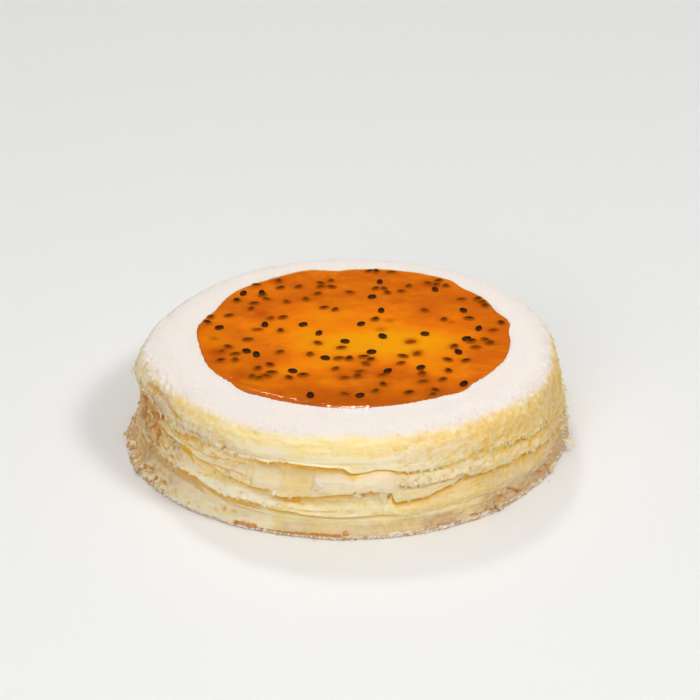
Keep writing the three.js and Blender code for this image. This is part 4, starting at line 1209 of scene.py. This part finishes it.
def crepe_shreds():
    """Torn shreds: the large flakes and the fringes along the frayed edges."""
    draw = np.random.default_rng(41)
    heap = Heap()
    for azimuth, width, profile in FLAKES:
        # Painted glints: the glint flakes get the sugar's white.
        white = 0.7 if azimuth in GLINT_WHITE_FLAKES else 0.0
        low = profile[0][1] < LOW_FLAKE
        masks = {"cream": 0.3 if low else 0.6, "sugar": white, "crust": 0.1 * low, "tan": 0.7 * low}
        add_flake(heap, draw, azimuth, width, profile, masks)
    edges = (cap_edge, upper_edge, middle_edge, upper_edge, cap_edge)
    for index in range(SHRED_TRIES):
        edge = edges[index % len(edges)]
        azimuth = draw.uniform(-180, 180)
        fray = float(around(edge.fray, azimuth))
        if draw.random() > SHRED_CHANCE * fray**2:
            continue
        root = (float(edge.lip(azimuth)) - 0.3, float(edge.height(azimuth)) + draw.uniform(0.0, 1.6))
        length = draw.uniform(0.4, 0.9 + 0.7 * fray)
        width = draw.uniform(0.8, 2.2)
        hanging_shred(heap, draw, azimuth, root, length, width, draw.uniform(0.25, 0.45), 1.0)
    _, depth, path = FRILLY_LEDGE
    for _ in range(LEDGE_SHRED_COUNT):
        azimuth = draw.uniform(path[0][0] + 1, path[-1][0] - 1)
        height = float(np.interp(azimuth, *zip(*path))) + draw.uniform(0.1, 1.2)
        root = (float(around(UPPER_LIP, azimuth)) + depth - 0.5, height)
        hanging_shred(heap, draw, azimuth, root, draw.uniform(0.6, 1.5), draw.uniform(0.8, 2.0), 0.35, 0.9)
    return heap


def turned(points, angle):
    """Points turned about the upright axis by an angle in radians."""
    cos, sin = math.cos(angle), math.sin(angle)
    return points @ np.array([[cos, sin, 0], [-sin, cos, 0], [0, 0, 1]])


def crumb_lump(draw, size):
    """A rough little lump."""
    scale = size * draw.uniform(0.7, 1.3, 3) / 2
    shape = GRAIN * draw.uniform(0.75, 1.25, (len(GRAIN), 1)) * scale
    return turned(shape, draw.uniform(0, 2 * np.pi))


def foot_at(azimuth):
    return float(around(FOOT_RADIUS, azimuth) + RAGGED_REACH * unevenness(azimuth, FOOT_PHASE))


def add_crumb(heap, draw, size, place, masks):
    """A crumb or a grain about a place, lifted so that none of it is under the ground."""
    points = crumb_lump(draw, size) + place
    heap.add(points - [0, 0, min(points[:, 2].min(), 0)], [], GRAIN_FACES, masks)


def foot_crumbs():
    """Brown and white crumbs: crust low on the left, the frosted foot all round, and some on the ground."""
    draw = np.random.default_rng(57)
    heap = Heap()
    place = points_at(BROWN_LUMP["azimuth"], *BROWN_LUMP["place"])
    add_crumb(heap, draw, BROWN_LUMP["size"], place, {"crust": 1.0})
    for _ in range(LEFT_CRUMB_COUNT):
        azimuth = draw.normal(-76, 14)
        height = abs(draw.normal(0, 2.2))
        size = draw.uniform(0.5, 1.0) * draw.uniform(1, 2.4)
        share = min(height / 8, 1)
        radius = foot_at(azimuth) * (1 - share) + float(around(LOWER_LIP, azimuth)) * share
        place = points_at(azimuth, radius + draw.normal(-0.5, 0.25), max(height, size * 0.35))
        kind = draw.random()
        if kind < 0.7:
            masks = {"crust": draw.uniform(0.5, 1)}
        else:
            masks = {"sugar": 1.0} if kind < 0.9 else {"tan": 1.0}
        add_crumb(heap, draw, size, place, masks)
    for _ in range(FOOT_CRUMB_COUNT):
        azimuth = draw.uniform(-180, 180)
        size = draw.uniform(0.35, 1.0)
        height = draw.uniform(-0.2, 1.1)
        place = points_at(azimuth, foot_at(azimuth) + draw.normal(0, 0.22), max(height, size * 0.35))
        # More than half of these crumbs are tan, which also darkens the foot as painted shade.
        frosted = draw.random() < 0.45
        masks = {"sugar": 1.0} if frosted else {"tan": draw.uniform(0.7, 1), "crust": draw.uniform(0, 0.3)}
        add_crumb(heap, draw, size, place, masks)
    for _ in range(GROUND_CRUMB_COUNT):
        azimuth = draw.uniform(-180, 180)
        size = draw.uniform(0.3, 0.8)
        place = points_at(azimuth, foot_at(azimuth) + draw.exponential(0.9), size * 0.3)
        masks = {"sugar": 1.0} if draw.random() < 0.6 else {"crust": draw.uniform(0.3, 1)}
        add_crumb(heap, draw, size, place, masks)
    return heap


def sugar_grains():
    """Sugar: clumps scattered over the dusting's edge, along the glaze's rim and over the flat top."""
    draw = np.random.default_rng(71)
    heap = Heap()
    sugar = {"sugar": 1.0}
    for _ in range(DUSTING_EDGE_COUNT):
        azimuth = draw.uniform(-180, 180)
        angle = float(around(SUGAR_EDGE, azimuth)) + draw.normal(3, 6.5)
        foot_radius, foot_height = (float(value) for value in shoulder_foot(azimuth))
        turn = math.radians(min(angle, TOP_ANGLE))
        reach = foot_radius - SHOULDER_WIDTH * (1 - math.cos(turn)) - GRAIN_SINK * math.cos(turn)
        height = foot_height + (CAKE_TOP - foot_height) * math.sin(turn) - GRAIN_SINK * math.sin(turn)
        add_crumb(heap, draw, draw.uniform(0.25, 0.6), points_at(azimuth, reach, height), sugar)
    for _ in range(GLAZE_RIM_COUNT):
        azimuth = draw.uniform(-180, 180)
        inset = -0.35 - abs(draw.normal(0, 0.45))
        place = points_at(azimuth, float(glaze_radius(azimuth, inset)), CAKE_TOP + 0.28, GLAZE_CENTRE_X)
        size = draw.uniform(0.35, 0.95) if inset > -0.8 else draw.uniform(0.2, 0.45)
        add_crumb(heap, draw, size, place, sugar)
    for _ in range(FLAT_TOP_COUNT):
        azimuth = draw.uniform(-180, 180)
        radius = math.sqrt(draw.uniform(*(reach**2 for reach in FLAT_TOP_RADII)))
        place = points_at(azimuth, radius, CAKE_TOP + 0.02)
        add_crumb(heap, draw, draw.uniform(0.2, 0.55), place, sugar)
    return heap


def fuzz():
    """Short torn fuzz on the rough parts of the crepes' faces, thickest where the faces are woolly."""
    draw = np.random.default_rng(83)
    heap = Heap()
    bands = ((middle_edge, upper_edge), (upper_edge, cap_edge), (cap_edge, None))
    for index in range(FACE_SHRED_TRIES):
        share = draw.beta(1.1, 2.2)
        if index % 2:
            azimuth = draw.uniform(-180, 180)
            below, above = bands[index % len(bands)]
        else:
            azimuth, below, above = draw.uniform(*TORN_PATCH), middle_edge, upper_edge
            share = draw.uniform(0, 1)
        if draw.random() > FACE_SHRED_CHANCE * float(around(FUZZ, azimuth)):
            continue
        low = (float(below.lip(azimuth)), float(below.height(azimuth)))
        high = [float(value) for value in (neck_of(above, azimuth) if above else shoulder_foot(azimuth))]
        root = (low[0] + (high[0] - low[0]) * ease(share) + 0.1, low[1] + (high[1] - low[1]) * share + 0.4)
        length = draw.uniform(1.0, 2.6)
        hanging_shred(heap, draw, azimuth, root, length, draw.uniform(1.2, 3.0), draw.uniform(0.2, 0.35), 1.5)
    for _ in range(BRISTLE_COUNT):
        azimuth = draw.uniform(*BRISTLY_SIDE)
        height = draw.uniform(2, 20)
        radius = float(around(MIDDLE_LIP, azimuth)) - 0.6 + max(0, 6 - height) * 0.15
        reach = draw.uniform(0.8, 2.6)
        share = np.linspace(0, 1, SHRED_STATIONS)
        drop = height + draw.uniform(-0.8, 0.5) * reach * share
        spine = points_at(azimuth + draw.normal(0, 0.7) * share, radius + reach * share, drop)
        across = np.array([0.2 * draw.normal(), 0.4 * draw.normal(), 1.0])
        width = draw.uniform(0.2, 0.6)
        add_shred(heap, draw, spine, across, width, BRISTLE_THICKNESS, FLAKE_TAPER, BRISTLE_MASKS)
    return heap


# ---------------------------------------------------------------- the glaze and its seeds

GLAZE_EDGE_ROUND = 1.1  # how wide the rim's rounding is
RIM_FLATNESS = 0.85  # 0 for a round rim, 1 for a straight slope
RIM_GRAIN = 0.15  # the jelly's own rim is smoother than the sugar round it
GLAZE_RIM_BULGE = 0.2  # how far the rim bulges out over the sugar
GLAZE_RIM_WIDTH = 4  # from the rim's rounding in to the level surface
# How much wider the rounding is than that, as (azimuth, width)
GLAZE_ROLL = ((-180, 0), (-54, 0), (-48, 2), (-28, 2), (-21, 0.1), (8, 0), (14, -0.4), (30, -0.4), (36, 0))
GLAZE_RIM_ROWS = 11
GLAZE_ROWS = 60
GLAZE_SAG = 0.15  # how far the jelly's surface sinks inside its rim
GLAZE_INSET = 0.1  # its clearance from the dish's wall
JELLY_FOOT_INSET = DISH_INSET + GLAZE_INSET
JELLY_FOOT = DISH_FLOOR + GAP
BED_CLEARANCE = 0.15  # between the jelly's surface below and the fruit in it
BED_HEIGHT = 44.9
BED_BRIM = 45.15
BED_RIM = (  # as (inset, height)
    (0.05, BED_BRIM - 0.2), (0.4, BED_BRIM), (1.2, BED_BRIM), (2.0, BED_HEIGHT + 0.1), (3.0, BED_HEIGHT),
)
BED_ROWS = 90

SEED_LENGTH = 5
SEED_WIDTH = 3.4
SEED_THICKNESS = 2
SEED_SINK = 0.7  # depth of a proud seed's middle under the glaze's surface
SUNK_HEIGHT = (44.9, 45.2)  # heights of the middles of the deepest sunk seeds and of the highest
SUNK_HALF_THICKNESS = 0.4
SUNK_SIZES = (0.98, 1.16)
SEED_SIDES = 18
SEED_ROWS = 9
# The dark round a sunk seed is partly darker pulp and partly painted shadow and painted blur of the seed.
HALO_REACH = 3.0  # how far the dark round a sunk seed reaches


def fill_in(rings, centre, rows, relief=None):
    """Adds rings from the last one in to its centre, with relief on them."""
    last = rings[-1]
    for row in range(1, rows):
        ring = last + (np.array(centre) - last) * row / rows
        if relief:
            ring[:, 2] += relief(ring)
        rings.append(ring)


def glaze_body():
    """The jelly: it fills the dish and stands above it with a rounded, slightly uneven rim."""
    path = points_at(RING_AZIMUTHS, GLAZE_RADIUS, 0.0)
    brim = CAKE_TOP + GAP
    middle = GLAZE_TOP - GLAZE_SAG
    rings = [glaze_ring(JELLY_FOOT_INSET, JELLY_FOOT, RIM_GRAIN), glaze_ring(-GLAZE_INSET, brim, RIM_GRAIN)]
    roll = GLAZE_EDGE_ROUND + around(GLAZE_ROLL, RING_AZIMUTHS) * (0.85 + 0.4 * noise(path, 6.0, 85))
    for angle in np.linspace(90, 0, GLAZE_RIM_ROWS):
        turn = math.radians(angle)
        inset = roll - (roll + GLAZE_RIM_BULGE) * math.sin(turn)
        fall = RIM_FLATNESS * math.sin(turn) + (1 - RIM_FLATNESS) * (1 - math.cos(turn))
        rings.append(glaze_ring(inset, GLAZE_TOP - (GLAZE_TOP - brim - GAP) * fall, RIM_GRAIN))
    rings.append(glaze_ring(GLAZE_EDGE_ROUND + GLAZE_RIM_WIDTH, middle, RIM_GRAIN))
    centre = (GLAZE_CENTRE_X, 0, middle)
    fill_in(rings, centre, GLAZE_ROWS, lambda ring: 0.05 * noise(ring, 9.0, 83) + 0.03 * noise(ring, 3.5, 84))
    points = np.concatenate([*rings, [(GLAZE_CENTRE_X, 0, JELLY_FOOT)], [centre]])
    return new_object("glaze_jelly", points, ring_faces(len(rings), STEPS))


def fruit_bed():
    """The fruit inside the jelly: pale amber in the middle, redder outside, darker round each seed."""
    floor = JELLY_FOOT + BED_CLEARANCE
    profile = ((JELLY_FOOT_INSET + BED_CLEARANCE, floor), *BED_RIM)
    rings = [glaze_ring(inset, height) for inset, height in profile]
    centre = (GLAZE_CENTRE_X, 0, BED_HEIGHT)
    fill_in(rings, centre, BED_ROWS)
    points = np.concatenate([*rings, [(GLAZE_CENTRE_X, 0, floor)], [centre]])

    def spot(right, behind, width, depth=None):
        across, along = points[:, 0] - right, points[:, 1] - behind
        return np.exp(-((across / width) ** 2) - (along / (depth or width)) ** 2)

    halo, red, amber = (np.zeros(len(points)) for _ in range(3))
    for right, behind, darkness, _ in SUNK_SEEDS:
        halo = np.maximum(halo, (1.15 - 0.4 * darkness) * spot(right, behind, HALO_REACH))
    for right, behind, width, depth in DARK_CLOUDS:
        halo = halo + 0.5 * spot(right, behind, width, depth)
    for right, behind, reach in RED_SPOTS:
        red = np.maximum(red, spot(right, behind, reach))
    for right, behind, width, depth, share in AMBER_PATCHES:
        amber = amber + share * spot(right, behind, width, depth)
    masks = {"halo": halo, "red": red, "amber": amber}
    return new_object("fruit_bed", points, ring_faces(len(rings), STEPS), masks)


def seed_shape():
    """A flat teardrop seed about 0, twice a unit long, its faces, and how far out each of its points lies."""
    angle = np.arange(SEED_SIDES) * 2 * np.pi / SEED_SIDES
    rings, outwards = [], []
    for row in range(1, SEED_ROWS):
        tilt = np.pi * row / SEED_ROWS - np.pi / 2
        level = np.cos(tilt) ** 0.85
        taper = 1 - 0.16 * np.cos(angle)
        height = np.full(SEED_SIDES, np.sin(tilt))
        rings.append(np.stack([level * np.cos(angle), level * taper * np.sin(angle), height], -1))
        outwards.append(np.full(SEED_SIDES, level))
    points = np.concatenate([*rings, [(0, 0, -1)], [(0, 0, 1)]])
    return points, ring_faces(SEED_ROWS - 1, SEED_SIDES), np.concatenate([*outwards, [0], [0]])


def seeds():
    """All the seeds in the glaze, the sunken ones paler and softer at their outlines."""
    draw = np.random.default_rng(23)
    shape, (quads, fans), outwards = seed_shape()
    points, faces, dark = [], ([], []), []
    for index, (right, behind, darkness, turn) in enumerate(PROUD_SEEDS + SUNK_SEEDS):
        if index < len(PROUD_SEEDS):
            size = 0.58 + 0.36 * darkness
            level, half_thickness = GLAZE_TOP - SEED_SINK, SEED_THICKNESS / 2
            fading = 0.3 * smooth_step(outwards, 0.9, 1)
        else:
            size = draw.uniform(*SUNK_SIZES)
            level = SUNK_HEIGHT[0] + (SUNK_HEIGHT[1] - SUNK_HEIGHT[0]) * (darkness - 0.3) / 0.5
            half_thickness = SUNK_HALF_THICKNESS * size
            # A sunk seed is painted paler towards its outline, for the light that the jelly over it scatters.
            fading = smooth_step(outwards, 0.4, 1)
        halves = (size * SEED_LENGTH / 2, size * SEED_WIDTH / 2, half_thickness)
        points.append(turned(shape * halves, math.radians(turn)) + (right, behind, level))
        faces[0].append(quads + index * len(shape))
        faces[1].append(fans + index * len(shape))
        dark.append(darkness**0.7 * (1 - fading))
    joined = [np.concatenate(group) for group in faces]
    return new_object("glaze_seeds", np.concatenate(points), joined, {"dark": np.concatenate(dark)})


# ---------------------------------------------------------------- materials

class Nodes:
    """Short names for the nodes that the materials are made of."""

    def __init__(self, name):
        self.material = bpy.data.materials.new(name)
        self.material.use_nodes = True
        self.tree = self.material.node_tree
        self.surface = self.tree.nodes["Principled BSDF"]
        self.output = self.tree.nodes["Material Output"]
        self.coordinates = self.tree.nodes.new("ShaderNodeTexCoord").outputs["Object"]

    def link(self, source, target):
        self.tree.links.new(source, target)

    def noise(self, size_mm, detail=3.0, stretch=(1, 1, 1), roughness=0.6):
        """Noise whose lumps are about size_mm across, stretched along x, y or z. It lies between 0 and 1."""
        scaled = self.tree.nodes.new("ShaderNodeVectorMath")
        scaled.operation = "MULTIPLY"
        scaled.inputs[1].default_value = [1 / (size_mm * MM * s) for s in stretch]
        self.link(self.coordinates, scaled.inputs[0])
        made = self.tree.nodes.new("ShaderNodeTexNoise")
        made.inputs["Scale"].default_value = 1.0
        made.inputs["Detail"].default_value = detail
        made.inputs["Roughness"].default_value = roughness
        self.link(scaled.outputs[0], made.inputs["Vector"])
        return made.outputs["Fac"]

    def mask(self, name):
        """The mesh's own value at each point."""
        made = self.tree.nodes.new("ShaderNodeAttribute")
        made.attribute_name = name
        return made.outputs["Fac"]

    def maths(self, operation, first, second=0.0, clamp=False):
        """A sum on two values, each a number or a socket."""
        made = self.tree.nodes.new("ShaderNodeMath")
        made.operation = operation
        made.use_clamp = clamp
        for socket, value in zip(made.inputs, (first, second)):
            if isinstance(value, (int, float)):
                socket.default_value = value
            else:
                self.link(value, socket)
        return made.outputs[0]

    def span(self, value, low, high, to_low=0.0, to_high=1.0):
        """value mapped from low..high to to_low..to_high, held at both ends."""
        made = self.tree.nodes.new("ShaderNodeMapRange")
        made.inputs["From Min"].default_value = low
        made.inputs["From Max"].default_value = high
        made.inputs["To Min"].default_value = to_low
        made.inputs["To Max"].default_value = to_high
        self.link(value, made.inputs["Value"])
        return made.outputs["Result"]

    def mix(self, share, first, second):
        """A mix of two colours. Each is a colour or a socket, and share a number or a socket."""
        made = self.tree.nodes.new("ShaderNodeMix")
        made.data_type = "RGBA"
        for socket, value in ((made.inputs[0], share), (made.inputs[6], first), (made.inputs[7], second)):
            if isinstance(value, (int, float)):
                socket.default_value = value
            elif isinstance(value, tuple):
                socket.default_value = (*value, 1)
            else:
                self.link(value, socket)
        return made.outputs[2]

    def blend(self, share, first, second):
        """A mix of two shaders by a socket's share."""
        made = self.tree.nodes.new("ShaderNodeMixShader")
        for socket, value in zip(made.inputs, (share, first, second)):
            self.link(value, socket)
        return made.outputs[0]

    def bump(self, layers):
        """A normal from several heights, each as (socket, height in millimetres)."""
        normal = None
        for height, depth_mm in layers:
            made = self.tree.nodes.new("ShaderNodeBump")
            made.inputs["Strength"].default_value = 1.0
            made.inputs["Distance"].default_value = depth_mm * MM
            self.link(height, made.inputs["Height"])
            if normal:
                self.link(normal, made.inputs["Normal"])
            normal = made.outputs["Normal"]
        return normal

    def set_surface(self, **inputs):
        """Sets the surface's inputs, each a number, a tuple or a socket. An underscore stands for a space."""
        for name, value in inputs.items():
            socket = self.surface.inputs[name.replace("_", " ")]
            if isinstance(value, (int, float, tuple)):
                socket.default_value = value
            else:
                self.link(value, socket)


YELLOW = (0.95, 0.71, 0.235)
CREAM = (0.95, 0.79, 0.455)
PALE = (0.96, 0.85, 0.63)
# The deep gold of painted shade in grooves, hollows and under edges.
PAINTED_SHADE_GOLD = (0.84, 0.49, 0.045)
# Dry tan crepe, also used as painted shade in the recess under the middle edge and round the foot.
DRY_TAN_AND_SHADE = (0.60, 0.385, 0.19)
GOLD = (0.88, 0.59, 0.17)
RUSSET = (0.50, 0.17, 0.028)
TAN = (0.72, 0.35, 0.09)
SUGAR = (0.935, 0.838, 0.76)
CREPE_GLOSS = 0.22
CREPE_ROUGHNESS = 0.55
SUGAR_ROUGHNESS = 0.92
SUGAR_SHADE = 0.965
CREPE_SCATTER = 0.4
SCATTER_SHARES = (1.0, 0.6, 0.25)  # how far red, green and blue light spread under the surface
SCATTER_DEPTH = 2.0


def crepe_material(name, scatter):
    """Soft crepe and cream, with the browned spots, crust, painted shade and sugar that the masks tell."""
    n = Nodes(name)
    fine = n.noise(0.9, 3)
    small = n.noise(2.2, 3)
    broad = n.noise(8, 3, (1.6, 1.6, 0.6))
    cream_share = n.maths("ADD", n.mask("cream"), n.span(broad, 0.3, 0.7, -0.15, 0.15), clamp=True)
    colour = n.mix(n.span(cream_share, 0, 0.75), YELLOW, CREAM)
    mottle = n.span(small, 0.52, 0.75, 0, 0.35)
    colour = n.mix(n.maths("ADD", n.span(cream_share, 0.65, 1, 0, 0.7), mottle, clamp=True), colour, PALE)
    # The gold mask is mostly the crepe's own golden patches, and painted shade just under some edges.
    gold_share = n.maths("MULTIPLY", n.mask("gold"), n.span(small, 0.3, 0.65, 0.35, 1.15), clamp=True)
    colour = n.mix(gold_share, colour, GOLD)
    # The tan mask is partly dry crepe and partly painted shade.
    tan_share = n.maths("MULTIPLY", n.mask("tan"), n.span(small, 0.3, 0.7, 0.65, 1.1), clamp=True)
    colour = n.mix(tan_share, colour, DRY_TAN_AND_SHADE)
    # Painted shade: undersides, gaps under edges, hollows and creases turn deep gold.
    painted_shade_share = n.span(n.mask("groove"), 0.05, 0.8)
    colour = n.mix(painted_shade_share, colour, PAINTED_SHADE_GOLD)
    crust_edge = n.maths("ADD", n.mask("crust"), n.span(fine, 0.3, 0.7, -0.22, 0.22))
    crust_share = n.span(crust_edge, 0.25, 0.75, 0, 0.92)
    crust = n.mix(n.span(small, 0.35, 0.65), RUSSET, TAN)
    colour = n.mix(crust_share, colour, crust)
    speckle = n.noise(0.42, 2, roughness=0.8)
    dust = n.maths("ADD", n.maths("MULTIPLY", n.mask("sugar"), 1.5), n.span(speckle, 0.3, 0.7, -0.9, 0.3))
    sugar_share = n.span(dust, 0.15, 0.5, 0, 1)
    shaded = tuple(SUGAR_SHADE * part for part in SUGAR)
    sugar = n.mix(n.span(n.noise(1.2, 3), 0.3, 0.7), SUGAR, shaded)
    colour = n.mix(sugar_share, colour, sugar)
    n.set_surface(Base_Color=colour, Roughness=n.span(sugar_share, 0, 1, CREPE_ROUGHNESS, SUGAR_ROUGHNESS))
    n.set_surface(Specular_IOR_Level=CREPE_GLOSS, Subsurface_Weight=scatter)
    n.set_surface(Subsurface_Radius=SCATTER_SHARES, Subsurface_Scale=SCATTER_DEPTH * MM)
    n.set_surface(Normal=n.bump(((n.noise(2.6, 4, (1.4, 1.4, 0.7)), 0.45), (n.noise(0.7, 3), 0.16))))
    return n.material


JELLY_ROUGHNESS = 0.03
JELLY_IOR = 1.33
JELLY_MILKINESS = (0.02, 0.08)
JELLY_TINT = (0.985, 0.755, 0.27)
JELLY_MILK = (0.95, 0.30, 0.004)
AMBER = (1.0, 0.66, 0.045)
ORANGE = (0.96, 0.37, 0.05)
RED_ORANGE = (0.72, 0.225, 0.06)
STREAK = (1.0, 0.66, 0.22)
RED = (0.55, 0.07, 0.012)
DARK_RED = (0.40, 0.08, 0.01)
SEED_BLACK = (0.02, 0.009, 0.005)
# The brown that the sunk seeds are painted, for the light that the jelly over them scatters.
SEED_SUNK = (0.50, 0.17, 0.03)
GLOSS_COLOUR = (1.0, 0.80, 0.58)
GLOSS_SHARE = 0.4  # how much of a clear surface's gloss the jelly has
GLOSS_LIMIT = 0.06  # the most that it mirrors at a slant
BED_ROUGHNESS = 0.6
BED_GLOSS = 0.1
SEED_ROUGHNESS = 0.4
SEED_GLOSS = 0.02


def jelly_material():
    """Clear orange jelly with a wet gloss: what lies in it shows through."""
    n = Nodes("jelly")
    clear = n.tree.nodes.new("ShaderNodeBsdfTransparent")
    clear.inputs["Color"].default_value = (*JELLY_TINT, 1)
    milk = n.tree.nodes.new("ShaderNodeBsdfDiffuse")
    milk.inputs["Color"].default_value = (*JELLY_MILK, 1)
    gloss = n.tree.nodes.new("ShaderNodeBsdfGlossy")
    gloss.inputs["Roughness"].default_value = JELLY_ROUGHNESS
    gloss.inputs["Color"].default_value = (*GLOSS_COLOUR, 1)
    fresnel = n.tree.nodes.new("ShaderNodeFresnel")
    fresnel.inputs["IOR"].default_value = JELLY_IOR
    normal = n.bump(((n.noise(6, 2), 0.10), (n.noise(1.6, 2), 0.02)))
    n.link(normal, gloss.inputs["Normal"])
    n.link(normal, fresnel.inputs["Normal"])
    milkiness = n.span(n.noise(9, 3), 0.3, 0.7, *JELLY_MILKINESS)
    body = n.blend(milkiness, clear.outputs[0], milk.outputs[0])
    glossy = n.maths("MINIMUM", n.maths("MULTIPLY", fresnel.outputs[0], GLOSS_SHARE), GLOSS_LIMIT)
    n.link(n.blend(glossy, body, gloss.outputs[0]), n.output.inputs["Surface"])
    n.tree.nodes.remove(n.surface)
    return n.material


def bed_material():
    """Fruit pulp: amber in patches through the middle, redder towards the rim."""
    n = Nodes("fruit_pulp")
    share = n.maths("ADD", n.mask("amber"), n.span(n.noise(22, 4, (1.2, 1, 1)), 0.3, 0.7, -0.3, 0.3))
    colour = n.mix(n.span(share, -0.1, 0.35), RED_ORANGE, ORANGE)
    colour = n.mix(n.span(share, 0.3, 1.1), colour, AMBER)
    streak = n.noise(7, 4, (1.5, 1, 1))
    colour = n.mix(n.span(streak, 0.5, 0.75, 0, 0.35), colour, AMBER)
    wave = n.maths("ABSOLUTE", n.maths("SUBTRACT", n.noise(18, 3, (1.5, 0.9, 1)), 0.5))
    thin = n.maths("MULTIPLY", n.span(wave, 0.0, 0.03, 1, 0), n.span(n.noise(30, 2), 0.45, 0.65, 0, 0.3))
    colour = n.mix(thin, colour, STREAK)
    colour = n.mix(n.span(n.mask("red"), 0, 1, 0, 0.7), colour, RED)
    # The halo mask darkens the pulp round each sunk seed, partly as darker pulp and partly as painted shadow,
    # and in the dark patches.
    colour = n.mix(n.span(n.mask("halo"), 0, 1, 0, 0.6), colour, DARK_RED)
    n.set_surface(Base_Color=colour, Roughness=BED_ROUGHNESS, Specular_IOR_Level=BED_GLOSS)
    n.set_surface(Normal=n.bump(((n.noise(4, 3), 0.3),)))
    return n.material


def seed_material():
    """Black, wet seeds, painted browner where the jelly covers them, for the light that it scatters."""
    n = Nodes("seed")
    mottle = n.span(n.noise(1.1, 3), 0.35, 0.65, -0.05, 0.05)
    share = n.maths("ADD", n.mask("dark"), mottle, clamp=True)
    colour = n.mix(n.span(share, 0.0, 0.8), SEED_SUNK, SEED_BLACK)
    n.set_surface(Base_Color=colour, Roughness=SEED_ROUGHNESS, Specular_IOR_Level=SEED_GLOSS)
    n.set_surface(Normal=n.bump(((n.noise(0.8, 2), 0.05),)))
    return n.material


# ---------------------------------------------------------------- making it

def dress(piece, material, node=None):
    """Gives a piece its material and has it stand in for a node of the solids."""
    piece.data.materials.append(material)
    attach(piece, "root")
    if node:
        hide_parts(node)


add_camera()
light_scene()
add_floor()
crepe = crepe_material("crepe", CREPE_SCATTER)
crumb = crepe_material("crepe_crumb", scatter=0)
dress(base_layer(), crepe, "crepe_base")
for name, rows, swell, edges, forms in (
    ("lower", LOWER_ROWS, LOWER_SWELL, (lower_edge, middle_edge), None),
    ("middle", MIDDLE_ROWS, MIDDLE_SWELL, (middle_edge, upper_edge), None),
    ("upper", UPPER_ROWS, UPPER_SWELL, (upper_edge, cap_edge), upper_forms),
):
    dress(middle_layers(name, rows, swell, edges, forms), crepe, f"crepe_{name}")
dress(cap_layer(), crepe, "crepe_cap")
for make, make_material in ((glaze_body, jelly_material), (fruit_bed, bed_material), (seeds, seed_material)):
    dress(make(), make_material(), "fruit_glaze")
for name, heap, slot, material, smooth in (
    ("crepe_shreds", crepe_shreds(), "crepe_plain", crepe, True),
    ("crepe_fuzz", fuzz(), "crepe_plain", crepe, True),
    ("foot_crumbs", foot_crumbs(), "crepe_browned", crumb, True),
    ("sugar_grains", sugar_grains(), "crepe_sugared", crumb, False),
):
    dress(heap.build(name, smooth), material)
